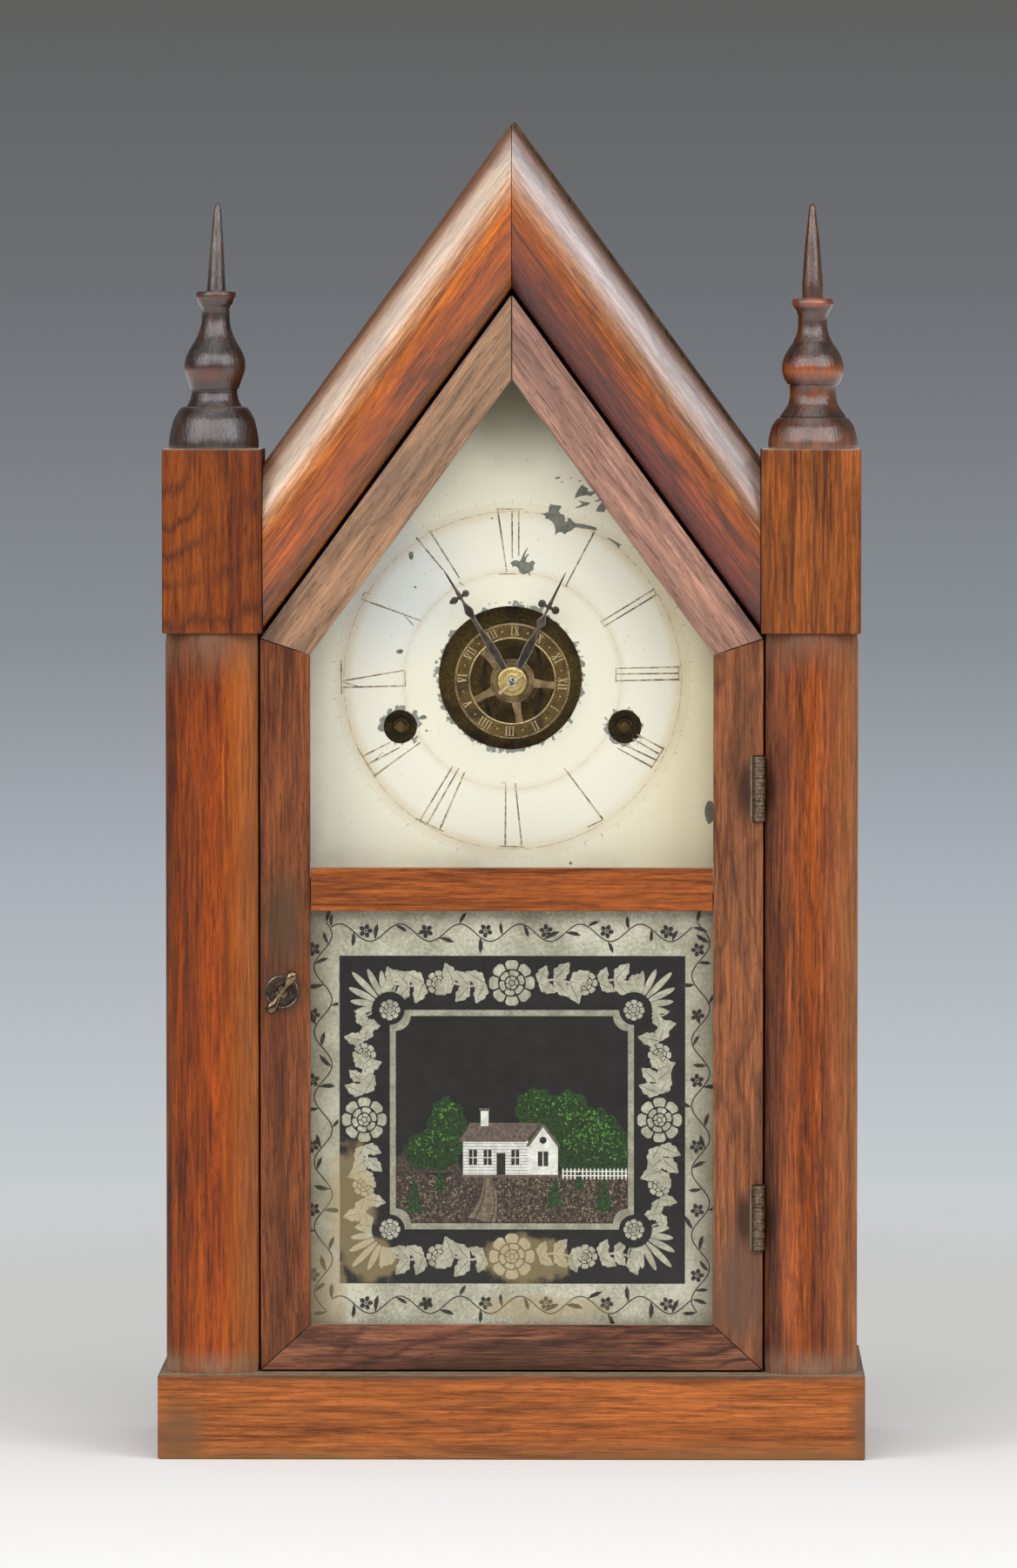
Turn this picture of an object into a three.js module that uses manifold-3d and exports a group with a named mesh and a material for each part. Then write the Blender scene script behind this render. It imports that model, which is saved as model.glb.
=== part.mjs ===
// A steeple shelf clock with an alarm, built from its real pieces.
// Millimetres, +Z up. The origin is on the floor under the middle of the plinth, and the front faces -Y.

import * as THREE from 'three';
import { mergeVertices } from 'three/addons/utils/BufferGeometryUtils.js';
import Module from 'manifold-3d';

const wasm = await Module();
wasm.setup();

// Driving dimensions of the case
const plinth = { width: 260, depth: 105, height: 31, board: 10, returnBoard: 9, floorBoard: 7 };
const gableSlope = Math.tan(THREE.MathUtils.degToRad(53.8)); // fall of the roof for each unit outwards
const slopeStretch = Math.hypot(1, gableSlope); // height of a sloping board for each unit of its width
const roof = { apex: 490, board: 8, halfWidth: 124 };
const side = { outer: 122, board: 9, front: -34, back: 46 };
const backBoard = { halfWidth: 123, board: 6.5, apex: 492.6 };
const frontStile = { inner: 93.2, back: -17.4, strip: 4.2, stripFront: -27.5 };

// Mouldings on the front, all of one half round section
const halfRound = { width: 34, back: -34, edge: -40, crown: -48, steps: 12 };
const gable = { innerApex: 431.5, end: 91.2 };
const capBlock = { inner: 91.5, width: 36.5, front: -49.5, depth: 36, bottom: 303.4, top: 371 };
const fit = 0.3; // gap round a piece that is cut to its neighbour

// Door
const door = {
  halfWidth: 92.4, bottom: 31.8, apex: 427.5, rail: 18.3, front: -40, back: -28,
  bottomRailTop: 48.5, midRailBottom: 201.1, midRailTop: 217.1, rebate: 4.2, lip: 4, glass: 2,
};
const seam = 0.3; // gap at each joint of the door frame
const hinge = {
  axisX: 90.9, axisY: -40.6, heights: { upper: 246.2, lower: 88.1 }, length: 24, leaf: 0.9, leafBack: -29,
  barrel: 2, bore: 1.1, pin: 0.8,
};
const knob = {
  x: -84.5, z: 171.4, rose: 5.9, roseSheet: 1.2, grip: 3.9, spindle: 1.7, bore: 2.1, front: -46.2,
  back: -26.2, armLength: 11, armFront: -27.4, armSheet: 1.1,
};

// Dial and hands
const handAxis = 285.1; // height of the centre arbor
const dial = {
  front: -17.2, sheet: 0.8, halfWidth: 86, bottom: 206, apex: 412, hole: 26.5, holeX: -0.8, holeZ: 286.1,
  windHole: 6.2,
};
const dialRail = { inner: 80.5, back: -7, top: 302 };
const winding = {
  x: 41.5, z: 268, arbor: 3, pivot: 2, square: 2.3, front: -15.6, shoulder: -6.5, step: 26,
};
const alarmDisc = {
  radius: 21.4, inner: 15.5, hub: 8, front: -21.6, sheet: 1.2, bore: 3.6, pipe: 4.8, pipeBack: -14.5,
};
const alarmSpokes = [27, 96, 170, 243, 315]; // degrees clockwise from the top
const hourHand = { length: 45, lobes: 30.5, lobeReach: 2.7, angle: 26.2, front: -24.4 };
const minuteHand = { length: 49, lobes: 37, lobeReach: 2.2, angle: -31.6, front: -27 };
const handSheet = 0.8;
const hourPipe = { radius: 3.2, bore: 2.2, wheel: 11, teeth: 36, wheelFront: -8.6, wheelSheet: 1.2 };
const centreArbor = { radius: 1.3, front: -29.5, pinion: 6.4, wheel: 15, wheelFront: 8, wheelSheet: 1.2 };

// Movement
const plates = { halfWidth: 54, bottom: 218, shoulder: 350, top: 358, front: -5, rear: 28, sheet: 1.5 };
const pivotEnd = plates.rear + plates.sheet + 1; // where the arbors end behind the rear plate
const posts = [[-48, 343], [48, 343], [-46, 223.5], [46, 223.5]];
const mainWheel = { time: 38, strike: 36, front: -1, sheet: 1.6, teeth: 42 };
const mainspring = { radius: 18, bore: 4.5, front: 3, width: 19 };
const escape = { x: 14, z: 322, radius: 10, teeth: 24, front: -8.6, sheet: 1.2 };
const verge = { x: 13.5, z: 341, front: -9, width: 2, loopHeight: 312 };

// Pendulum, gong and alarm works
const pendulum = { y: -11.9, pivot: 352, bob: 125, bobRadius: 19, bobThickness: 9, rod: 0.7, loop: 10 };
const gong = { y: 35, z: 105, first: 6.6, last: 34, turns: 3.25, wire: 1.1 };
const hammer = { x: -30, z: 226, y: 35, wire: 0.9, head: 4.5 };
const alarmWorks = { x: 72, z: 84, halfWidth: 21, drum: 16, studX: 36, studZ: 140, y: 36 };

const finishes = {
  rosewood: { color: 0x9a5426, roughness: 0.45, metalness: 0 },
  turnedWood: { color: 0x5b3220, roughness: 0.35, metalness: 0 },
  pine: { color: 0x9c7a52, roughness: 0.8, metalness: 0 },
  brass: { color: 0xb08d4c, roughness: 0.4, metalness: 1 },
  steel: { color: 0x3a3938, roughness: 0.45, metalness: 1 },
  iron: { color: 0x38332e, roughness: 0.6, metalness: 0.8 },
  dialPaint: { color: 0xd9d3bd, roughness: 0.5, metalness: 0 },
  clearGlass: { color: 0xdfe6e2, roughness: 0.05, metalness: 0 },
  tabletGlass: { color: 0x8d8f8a, roughness: 0.15, metalness: 0 },
};

const clock = new THREE.Group();

function addPart(name, geometry, finish) {
  const mesh = new THREE.Mesh(geometry, new THREE.MeshStandardMaterial(finishes[finish]));
  mesh.name = name;
  clock.add(mesh);
}

// Shapes ------------------------------------------------------------------------------------------

function box(x0, x1, y0, y1, z0, z1) {
  const geometry = new THREE.BoxGeometry(x1 - x0, y1 - y0, z1 - z0);
  return geometry.translate((x0 + x1) / 2, (y0 + y1) / 2, (z0 + z1) / 2);
}

// The same box on the left (-1) or the right (1), given by its distances from the middle.
function sideBox(hand, inner, outer, y0, y1, z0, z1) {
  return hand < 0 ? box(-outer, -inner, y0, y1, z0, z1) : box(inner, outer, y0, y1, z0, z1);
}

function polygon(points) {
  return new THREE.Shape(points.map(([u, v]) => new THREE.Vector2(u, v)));
}

// A shape drawn as the front shows it, x across and z up, from depth y0 back to y1.
function slab(shape, y0, y1, curveSegments = 6) {
  const geometry = new THREE.ExtrudeGeometry(shape, { depth: y1 - y0, bevelEnabled: false, curveSegments });
  return geometry.rotateX(Math.PI / 2).translate(0, y1, 0);
}

// A round piece on an axis that runs front to back, from pairs of depth and radius.
function turned(x, z, profile, segments = 20) {
  const points = profile.map(([y, radius]) => new THREE.Vector2(radius, y));
  return new THREE.LatheGeometry(points, segments).translate(x, 0, z);
}

function rod(x, z, radius, y0, y1, segments = 12) {
  return turned(x, z, [[y0, 0], [y0, radius], [y1, radius], [y1, 0]], segments);
}

function ring(x, z, bore, radius, y0, y1, segments = 20) {
  return turned(x, z, [[y0, bore], [y0, radius], [y1, radius], [y1, bore], [y0, bore]], segments);
}

// A post that stands up, and the same with a bore.
function upright(x, y, radius, z0, z1, segments = 10) {
  const geometry = new THREE.CylinderGeometry(radius, radius, z1 - z0, segments);
  return geometry.rotateX(Math.PI / 2).translate(x, y, (z0 + z1) / 2);
}

function sleeve(x, y, bore, radius, z0, z1, segments = 6) {
  const shape = new THREE.Shape().absarc(0, 0, radius, 0, 2 * Math.PI);
  shape.holes.push(new THREE.Path().absarc(0, 0, bore, 0, 2 * Math.PI, true));
  const settings = { depth: z1 - z0, bevelEnabled: false, curveSegments: segments };
  return new THREE.ExtrudeGeometry(shape, settings).translate(x, y, z0);
}

function circlePoints(radius, count) {
  return Array.from({ length: count }, (_, i) => {
    const angle = (i / count) * 2 * Math.PI;
    return [radius * Math.cos(angle), radius * Math.sin(angle)];
  });
}

function tube(curve, radius, sides, steps) {
  const section = polygon(circlePoints(radius, sides));
  return new THREE.ExtrudeGeometry(section, { steps, extrudePath: curve, bevelEnabled: false });
}

// A wire through points, straight from each to the next with the corners rounded by the curve.
function wire(points, radius, steps) {
  const corners = points.map((point) => new THREE.Vector3(...point));
  return tube(new THREE.CatmullRomCurve3(corners, false, 'chordal'), radius, 6, steps);
}

// Solids ------------------------------------------------------------------------------------------

function solid(geometry) {
  const bare = geometry.clone();
  bare.deleteAttribute('normal');
  bare.deleteAttribute('uv');
  const merged = mergeVertices(bare, 1e-4);
  const corners = merged.index.array;
  const faces = [];
  for (let i = 0; i < corners.length; i += 3) {
    const [a, b, c] = corners.slice(i, i + 3);
    if (a !== b && b !== c && c !== a) faces.push(a, b, c);
  }
  return new wasm.Manifold(new wasm.Mesh({
    numProp: 3,
    vertProperties: new Float32Array(merged.attributes.position.array),
    triVerts: new Uint32Array(faces),
  }));
}

function geometryOf(manifold) {
  const mesh = manifold.getMesh();
  const geometry = new THREE.BufferGeometry();
  geometry.setAttribute('position', new THREE.BufferAttribute(mesh.vertProperties, 3));
  geometry.setIndex(new THREE.BufferAttribute(mesh.triVerts, 1));
  return geometry;
}

function join(...geometries) {
  return geometryOf(geometries.map(solid).reduce((whole, piece) => whole.add(piece)));
}

function cut(geometry, ...tools) {
  return geometryOf(tools.map(solid).reduce((whole, tool) => whole.subtract(tool), solid(geometry)));
}

// Outlines ----------------------------------------------------------------------------------------

// A house front: upright sides and two slopes up to the apex, grown all round by `grow`.
function house(halfWidth, bottom, apex, grow = 0) {
  const half = halfWidth + grow;
  const top = apex + grow * slopeStretch;
  const eave = top - half * gableSlope;
  return polygon([[-half, bottom - grow], [half, bottom - grow], [half, eave], [0, top], [-half, eave]]);
}

function rectangle(halfWidth, bottom, top, grow = 0) {
  const half = halfWidth + grow;
  return polygon([[-half, bottom - grow], [half, bottom - grow], [half, top + grow], [-half, top + grow]]);
}

// The half round section: pairs of distance from its middle and depth, flat back first.
function halfRoundPoints() {
  const half = halfRound.width / 2;
  const rise = halfRound.edge - halfRound.crown;
  const radius = (half * half + rise * rise) / (2 * rise);
  const reach = Math.asin(half / radius);
  const points = [[half, halfRound.back], [-half, halfRound.back]];
  for (let i = 0; i <= halfRound.steps; i += 1) {
    const angle = reach * ((2 * i) / halfRound.steps - 1);
    points.push([radius * Math.sin(angle), halfRound.crown + radius * (1 - Math.cos(angle))]);
  }
  return points;
}

// A wheel seen from the front, with pointed teeth and windows between its spokes.
function wheelShape(radius, teeth, depth, spokes = 0, hub = 0, rim = 0) {
  const shape = polygon(circlePoints(1, 2 * teeth).map(([u, v], i) => {
    const reach = i % 2 === 0 ? radius : radius - depth;
    return [reach * u, reach * v];
  }));
  const spread = (2 * Math.PI) / spokes;
  for (let i = 0; i < spokes; i += 1) {
    shape.holes.push(windowPath(i * spread, (i + 1) * spread, hub, rim, rim * 0.08));
  }
  return shape;
}

// The window between two spokes, given by their angles and half width.
function windowPath(from, to, inner, outer, halfSpoke) {
  const path = new THREE.Path();
  const innerTrim = Math.asin(halfSpoke / inner);
  const outerTrim = Math.asin(halfSpoke / outer);
  path.absarc(0, 0, outer, from + outerTrim, to - outerTrim, false);
  path.absarc(0, 0, inner, to - innerTrim, from + innerTrim, true);
  path.closePath();
  return path;
}

// Case --------------------------------------------------------------------------------------------

const front = -plinth.depth / 2;
const back = plinth.depth / 2;

function addPlinth() {
  const halfWidth = plinth.width / 2;
  const boardBack = front + plinth.board;
  const inside = halfWidth - plinth.returnBoard;
  addPart('plinth_front', box(-halfWidth, halfWidth, front, boardBack, 0, plinth.height), 'rosewood');
  for (const [name, hand] of [['left', -1], ['right', 1]]) {
    const geometry = sideBox(hand, inside, halfWidth, boardBack, back, 0, plinth.height);
    addPart(`plinth_return_${name}`, geometry, 'rosewood');
  }
  const underside = plinth.height - plinth.floorBoard;
  addPart('case_floor', box(-inside, inside, boardBack, back, underside, plinth.height), 'pine');
}

// Space that a cap block takes out of what is behind and beside it.
function blockSpace(hand) {
  const rear = capBlock.front + capBlock.depth + fit;
  return sideBox(hand, capBlock.inner - fit, capBlock.inner + capBlock.width + fit,
    capBlock.front - fit, rear, capBlock.bottom - fit, capBlock.top + fit);
}

function addCaseSides() {
  const inner = side.outer - side.board;
  const underRoof = roof.apex - roof.board * slopeStretch - fit;
  for (const [name, hand] of [['left', -1], ['right', 1]]) {
    const outline = polygon([
      [hand * inner, plinth.height],
      [hand * side.outer, plinth.height],
      [hand * side.outer, underRoof - side.outer * gableSlope],
      [hand * inner, underRoof - inner * gableSlope],
    ]);
    addPart(`case_side_${name}`, cut(slab(outline, side.front, side.back), blockSpace(hand)), 'pine');
  }
}

function addRoof() {
  const drop = roof.board * slopeStretch;
  const eave = roof.apex - roof.halfWidth * gableSlope;
  const ridge = fit / 2;
  for (const [name, hand] of [['left', -1], ['right', 1]]) {
    const outline = polygon([
      [hand * ridge, roof.apex - ridge * gableSlope],
      [hand * roof.halfWidth, eave],
      [hand * roof.halfWidth, eave - drop],
      [hand * ridge, roof.apex - ridge * gableSlope - drop],
    ]);
    addPart(`roof_board_${name}`, cut(slab(outline, side.front, side.back), blockSpace(hand)), 'pine');
  }
}

function addBackBoard() {
  const outline = house(backBoard.halfWidth, plinth.height, backBoard.apex);
  addPart('back_board', slab(outline, side.back, side.back + backBoard.board), 'pine');
}

// Uprights behind the pillars, with a strip on each that stops the door. The latch goes into a mortise
// cut through the left strip into its upright.
function addFrontStiles() {
  const outer = side.outer - side.board;
  const top = capBlock.bottom - fit;
  const stripInner = frontStile.inner - frontStile.strip;
  const mortise = box(-frontStile.inner - 4, -stripInner + 1, frontStile.stripFront - 0.1,
    frontStile.stripFront + 3.5, knob.z - knob.armLength - 1.5, knob.z + 5);
  for (const [name, hand] of [['left', -1], ['right', 1]]) {
    const post = sideBox(hand, frontStile.inner, outer, side.front, frontStile.back, plinth.height, top);
    const strip = sideBox(hand, stripInner, frontStile.inner, frontStile.stripFront, frontStile.back,
      plinth.height, top);
    addPart(`front_stile_${name}`, hand < 0 ? cut(post, mortise) : post, 'pine');
    addPart(`door_stop_${name}`, hand < 0 ? cut(strip, mortise) : strip, 'pine');
  }
}

function addPillars() {
  const middle = frontStile.inner + halfRound.width / 2;
  const section = polygon(halfRoundPoints());
  const height = capBlock.bottom - plinth.height;
  for (const [name, hand] of [['left', -1], ['right', 1]]) {
    const geometry = new THREE.ExtrudeGeometry(section, { depth: height, bevelEnabled: false });
    geometry.translate(hand * middle, 0, plinth.height);
    addPart(`pillar_${name}`, geometry, 'rosewood');
  }
}

function addCapBlocks() {
  const { inner, width, front: face, depth, bottom, top } = capBlock;
  for (const [name, hand] of [['left', -1], ['right', 1]]) {
    const geometry = sideBox(hand, inner, inner + width, face, face + depth, bottom, top);
    addPart(`cap_block_${name}`, geometry, 'rosewood');
  }
}

// Radii of the finial at heights above its block.
const finialProfile = [
  [0, 0], [0, 16.6], [1.6, 16.7], [4, 16], [8, 14.4], [11.5, 13.2], [14, 13], [15.4, 12.4], [16.2, 10],
  [17.6, 8.8], [20.5, 8.7], [25, 10.2], [30.7, 11.1], [36, 10.2], [42, 7.7], [48, 5.5], [51.5, 5.4],
  [53, 7.1], [57, 7.2], [58, 6.2], [58.6, 3.6], [74, 2.3], [88, 1.2], [90.2, 0],
];

function addFinials() {
  const x = capBlock.inner + capBlock.width / 2;
  const y = capBlock.front + capBlock.depth / 2;
  const points = finialProfile.map(([height, radius]) => new THREE.Vector2(radius, height));
  for (const [name, hand] of [['left', -1], ['right', 1]]) {
    const geometry = new THREE.LatheGeometry(points, 20).rotateX(Math.PI / 2);
    addPart(`finial_${name}`, geometry.translate(hand * x, y, capBlock.top), 'turnedWood');
  }
}

// The half round stock runs up the slope, with an upright cut at the block and at the ridge.
function addGableMouldings() {
  const middle = (roof.apex + gable.innerApex) / 2;
  const stretch = (roof.apex - gable.innerApex) / halfRound.width;
  const section = polygon(halfRoundPoints().map(([across, depth]) => [depth, middle + across * stretch]));
  const alongX = new THREE.Matrix4().makeBasis(
    new THREE.Vector3(0, 1, 0), new THREE.Vector3(0, 0, 1), new THREE.Vector3(1, 0, 0));
  for (const [name, hand] of [['left', -1], ['right', 1]]) {
    const length = gable.end - fit / 2;
    const geometry = new THREE.ExtrudeGeometry(section, { depth: length, bevelEnabled: false });
    geometry.applyMatrix4(alongX);
    geometry.translate(hand < 0 ? -gable.end : fit / 2, 0, 0);
    geometry.applyMatrix4(new THREE.Matrix4().makeShear(0, -hand * gableSlope, 0, 0, 0, 0));
    addPart(`gable_moulding_${name}`, geometry, 'rosewood');
  }
}

function addDialRails() {
  for (const [name, hand] of [['left', -1], ['right', 1]]) {
    const geometry = sideBox(hand, dialRail.inner, side.outer - side.board, dial.front + dial.sheet,
      dialRail.back, dial.bottom, dialRail.top);
    addPart(`dial_rail_${name}`, geometry, 'pine');
  }
}

// Door --------------------------------------------------------------------------------------------

const opening = door.halfWidth - door.rail;
const openingApex = door.apex - door.rail * slopeStretch;
const doorEave = door.apex - door.halfWidth * gableSlope;
const openingEave = openingApex - opening * gableSlope;
const glassFront = door.front + door.lip;

// A thin cut along the line between two corners of the door frame.
function seamCut([x0, z0], [x1, z1]) {
  const length = Math.hypot(x1 - x0, z1 - z0);
  const over = 2 / length;
  const [alongX, alongZ] = [x1 - x0, z1 - z0];
  const [offX, offZ] = [(-alongZ / length) * (seam / 2), (alongX / length) * (seam / 2)];
  const start = [x0 - alongX * over, z0 - alongZ * over];
  const end = [x1 + alongX * over, z1 + alongZ * over];
  return slab(polygon([
    [start[0] + offX, start[1] + offZ], [end[0] + offX, end[1] + offZ],
    [end[0] - offX, end[1] - offZ], [start[0] - offX, start[1] - offZ],
  ]), door.front - 1, door.back + 1);
}

function doorFrame() {
  const outside = slab(house(door.halfWidth, door.bottom, door.apex), door.front, door.back);
  const upper = [opening, door.midRailTop, openingApex];
  const lower = [opening, door.bottomRailTop, door.midRailBottom];
  const tools = [
    slab(house(...upper), door.front - 1, door.back + 1),
    slab(rectangle(...lower), door.front - 1, door.back + 1),
    slab(house(...upper, door.rebate), glassFront, door.back + 1),
    slab(rectangle(...lower, door.rebate), glassFront, door.back + 1),
    seamCut([0, openingApex], [0, door.apex]),
  ];
  for (const hand of [-1, 1]) {
    tools.push(seamCut([hand * opening, door.bottomRailTop], [hand * door.halfWidth, door.bottom]));
    tools.push(seamCut([hand * opening, openingEave], [hand * door.halfWidth, doorEave]));
    tools.push(seamCut([hand * opening, door.midRailBottom], [hand * opening, door.midRailTop]));
  }
  return cut(outside, ...tools);
}

function addDoorFrame() {
  const whole = solid(doorFrame());
  const regions = {
    door_rail_middle: [[-opening, door.midRailBottom], [opening, door.midRailBottom],
      [opening, door.midRailTop], [-opening, door.midRailTop]],
    door_rail_bottom: [[-door.halfWidth, door.bottom], [door.halfWidth, door.bottom],
      [opening, door.bottomRailTop], [-opening, door.bottomRailTop]],
  };
  for (const [name, hand] of [['left', -1], ['right', 1]]) {
    regions[`door_stile_${name}`] = [[hand * door.halfWidth, door.bottom],
      [hand * opening, door.bottomRailTop], [hand * opening, openingEave], [hand * door.halfWidth, doorEave]];
    regions[`door_rafter_${name}`] = [[hand * door.halfWidth, doorEave], [hand * opening, openingEave],
      [0, openingApex], [0, door.apex]];
  }
  for (const [name, outline] of Object.entries(regions)) {
    const region = slab(polygon(outline), door.front - 1, door.back + 1);
    let geometry = geometryOf(whole.intersect(solid(region)));
    if (name === 'door_stile_right') geometry = cut(geometry, ...hingePockets());
    if (name === 'door_stile_left') {
      geometry = cut(geometry, rod(knob.x, knob.z, knob.bore, door.front - 1, door.back + 1));
    }
    addPart(name, geometry, 'rosewood');
  }
}

function addDoorGlass() {
  const play = door.rebate - 0.4;
  const panes = {
    upper_glass: [house(opening, door.midRailTop, openingApex, play), 'clearGlass'],
    lower_tablet: [rectangle(opening, door.bottomRailTop, door.midRailBottom, play), 'tabletGlass'],
  };
  for (const [name, [outline, finish]] of Object.entries(panes)) {
    addPart(name, slab(outline, glassFront, glassFront + door.glass), finish);
  }
}

function hingePockets() {
  const room = hinge.length / 2 + 0.3;
  const leafFace = hinge.axisX - 0.3;
  return Object.values(hinge.heights).flatMap((height) => [
    box(leafFace, door.halfWidth + 1, door.front - 1, door.back + 1, height - room, height + room),
    box(hinge.axisX - hinge.barrel - 0.4, door.halfWidth + 1, door.front - 1,
      hinge.axisY + hinge.barrel + 0.4, height - room, height + room),
  ]);
}

// A butt hinge: the case leaf holds the middle knuckle and the pin, and the door leaf the outer two.
function addHinge(name, height) {
  const { axisX, axisY, barrel, bore, leaf, leafBack, length } = hinge;
  const low = height - length / 2;
  const third = length / 3;
  const clearOfBarrel = axisY + barrel + 0.4;
  const caseFace = frontStile.inner - leaf;
  addPart(`${name}_hinge_case_leaf`, join(
    box(caseFace, frontStile.inner, clearOfBarrel, leafBack, low, low + length),
    box(caseFace, frontStile.inner, axisY, clearOfBarrel + 0.5, low + third + 0.15, low + 2 * third - 0.15),
    sleeve(axisX, axisY, bore, barrel, low + third + 0.15, low + 2 * third - 0.15),
  ), 'iron');
  const doorFace = axisX - 0.3;
  const knuckles = [[low, low + third - 0.15], [low + 2 * third + 0.15, low + length]];
  addPart(`${name}_hinge_door_leaf`, join(
    box(doorFace, doorFace + leaf, clearOfBarrel, leafBack, low, low + length),
    ...knuckles.flatMap(([from, to]) => [
      sleeve(axisX, axisY, bore, barrel, from, to),
      box(doorFace, doorFace + leaf, axisY + (barrel + bore) / 2, clearOfBarrel + 0.5, from, to),
    ]),
  ), 'iron');
  addPart(`${name}_hinge_pin`, upright(axisX, axisY, hinge.pin, low - 0.15, low + length + 0.15), 'steel');
}

function addKnob() {
  const { x, z, rose, roseSheet, grip, spindle, bore, armLength, armFront } = knob;
  const { front: tip, back: end } = knob;
  addPart('knob_rose', ring(x, z, bore, rose, door.front - roseSheet, door.front), 'iron');
  addPart('door_knob', turned(x, z, [
    [tip, 0], [tip + 0.1, 1.6], [tip + 0.8, 3.2], [tip + 1.8, grip], [tip + 3, grip], [tip + 3.8, 3],
    [tip + 4.4, spindle], [end, spindle], [end, 0],
  ], 18), 'brass');
  const armBack = armFront + knob.armSheet;
  const arm = polygon([[x - 1.8, z - 2], [x + 1.8, z - 2], [x + 1.5, z - armLength],
    [x - 1.5, z - armLength]]);
  const hub = ring(x, z, spindle + 0.05, 3.4, armFront, armBack, 16);
  const eye = rod(x, z, spindle + 0.05, armFront - 1, armBack + 1, 16);
  addPart('latch_hook', cut(join(slab(arm, armFront, armBack), hub), eye), 'iron');
}

// Dial and hands ----------------------------------------------------------------------------------

function addDial() {
  const { front: face, sheet, halfWidth, bottom, apex, hole, holeX, holeZ, windHole } = dial;
  const rear = face + sheet;
  const plate = slab(house(halfWidth, bottom, apex), face, rear);
  addPart('dial', cut(plate,
    rod(holeX, holeZ, hole, face - 1, rear + 1, 32),
    rod(-winding.x, winding.z, windHole, face - 1, rear + 1, 16),
    rod(winding.x, winding.z, windHole, face - 1, rear + 1, 16),
  ), 'dialPaint');
}

// Turns a geometry about the centre arbor, clockwise from the top as the front shows it.
function turnedTo(geometry, degrees) {
  const turn = THREE.MathUtils.degToRad(degrees);
  return geometry.translate(0, 0, -handAxis).rotateY(turn).translate(0, 0, handAxis);
}

function addAlarmDisc() {
  const { radius, inner, hub, front: face, sheet, bore, pipe, pipeBack } = alarmDisc;
  const shape = polygon(circlePoints(radius, 40));
  const angles = alarmSpokes.map((clockwise) => THREE.MathUtils.degToRad(90 - clockwise)).reverse();
  angles.forEach((angle, i) => {
    const next = angles[(i + 1) % angles.length] + (i + 1 === angles.length ? 2 * Math.PI : 0);
    shape.holes.push(windowPath(angle, next, hub, inner, 1.7));
  });
  const disc = slab(shape, face, face + sheet, 5).translate(0, 0, handAxis);
  const collar = ring(0, handAxis, bore, pipe, face - 1, pipeBack);
  addPart('alarm_disc', cut(join(disc, collar), rod(0, handAxis, bore, face - 2, pipeBack + 1, 20)), 'brass');
}

// A slim blade with two round lobes near its tip and a ring at the arbor.
function handShape({ length, lobes, lobeReach, front: face }, hub) {
  const rear = face + handSheet;
  const blade = polygon([
    [-1.3, 2], [-0.8, lobes * 0.55], [-1.5, lobes * 0.66], [-0.7, lobes * 0.78], [-0.8, lobes],
    [-1.3, lobes + 2], [-0.8, length - 3], [0, length],
    [0.8, length - 3], [1.3, lobes + 2], [0.8, lobes], [0.7, lobes * 0.78], [1.5, lobes * 0.66],
    [0.8, lobes * 0.55], [1.3, 2],
  ]);
  return join(
    slab(blade, face, rear).translate(0, 0, handAxis),
    rod(0, handAxis, hub, face, rear, 20),
    box(-lobeReach, lobeReach, face, rear, handAxis + lobes - 0.6, handAxis + lobes + 0.6),
    rod(-lobeReach, handAxis + lobes, 1.6, face, rear, 12),
    rod(lobeReach, handAxis + lobes, 1.6, face, rear, 12),
  );
}

function addHands() {
  const { radius, bore, wheel, teeth, wheelFront, wheelSheet } = hourPipe;
  const wheelBack = wheelFront + wheelSheet;
  const hour = join(
    handShape(hourHand, 5.4),
    rod(0, handAxis, radius, hourHand.front, wheelBack, 16),
    slab(wheelShape(wheel, teeth, 1), wheelFront, wheelBack).translate(0, 0, handAxis),
  );
  const hourBore = rod(0, handAxis, bore, hourHand.front - 1, wheelBack + 1, 16);
  addPart('hour_hand', turnedTo(cut(hour, hourBore), hourHand.angle), 'steel');
  const { front: face } = minuteHand;
  const eye = rod(0, handAxis, centreArbor.radius + 0.05, face - 1, face + handSheet + 1);
  addPart('minute_hand', turnedTo(cut(handShape(minuteHand, 3.4), eye), minuteHand.angle), 'steel');
}

// Movement ----------------------------------------------------------------------------------------

function addCentreArbor() {
  const { radius, front: tip, pinion, wheel, wheelFront, wheelSheet } = centreArbor;
  addPart('centre_arbor', join(
    rod(0, handAxis, radius, tip, pivotEnd),
    rod(0, handAxis, pinion, -1.2, 1, 16),
    slab(wheelShape(wheel, 32, 1, 4, 3.5, wheel - 3), wheelFront, wheelFront + wheelSheet, 4)
      .translate(0, 0, handAxis),
  ), 'brass');
}

function plate(y, top) {
  const outline = polygon([[-plates.halfWidth, plates.bottom], [plates.halfWidth, plates.bottom],
    [plates.halfWidth, plates.shoulder], [40, top], [-40, top], [-plates.halfWidth, plates.shoulder]]);
  return slab(outline, y, y + plates.sheet);
}

function pivotHoles(y, arborBore) {
  const [from, to] = [y - 1, y + plates.sheet + 1];
  return [
    rod(-winding.x, winding.z, arborBore, from, to),
    rod(winding.x, winding.z, arborBore, from, to),
    rod(0, handAxis, 1.8, from, to),
    rod(escape.x, escape.z, 1.4, from, to),
  ];
}

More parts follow.
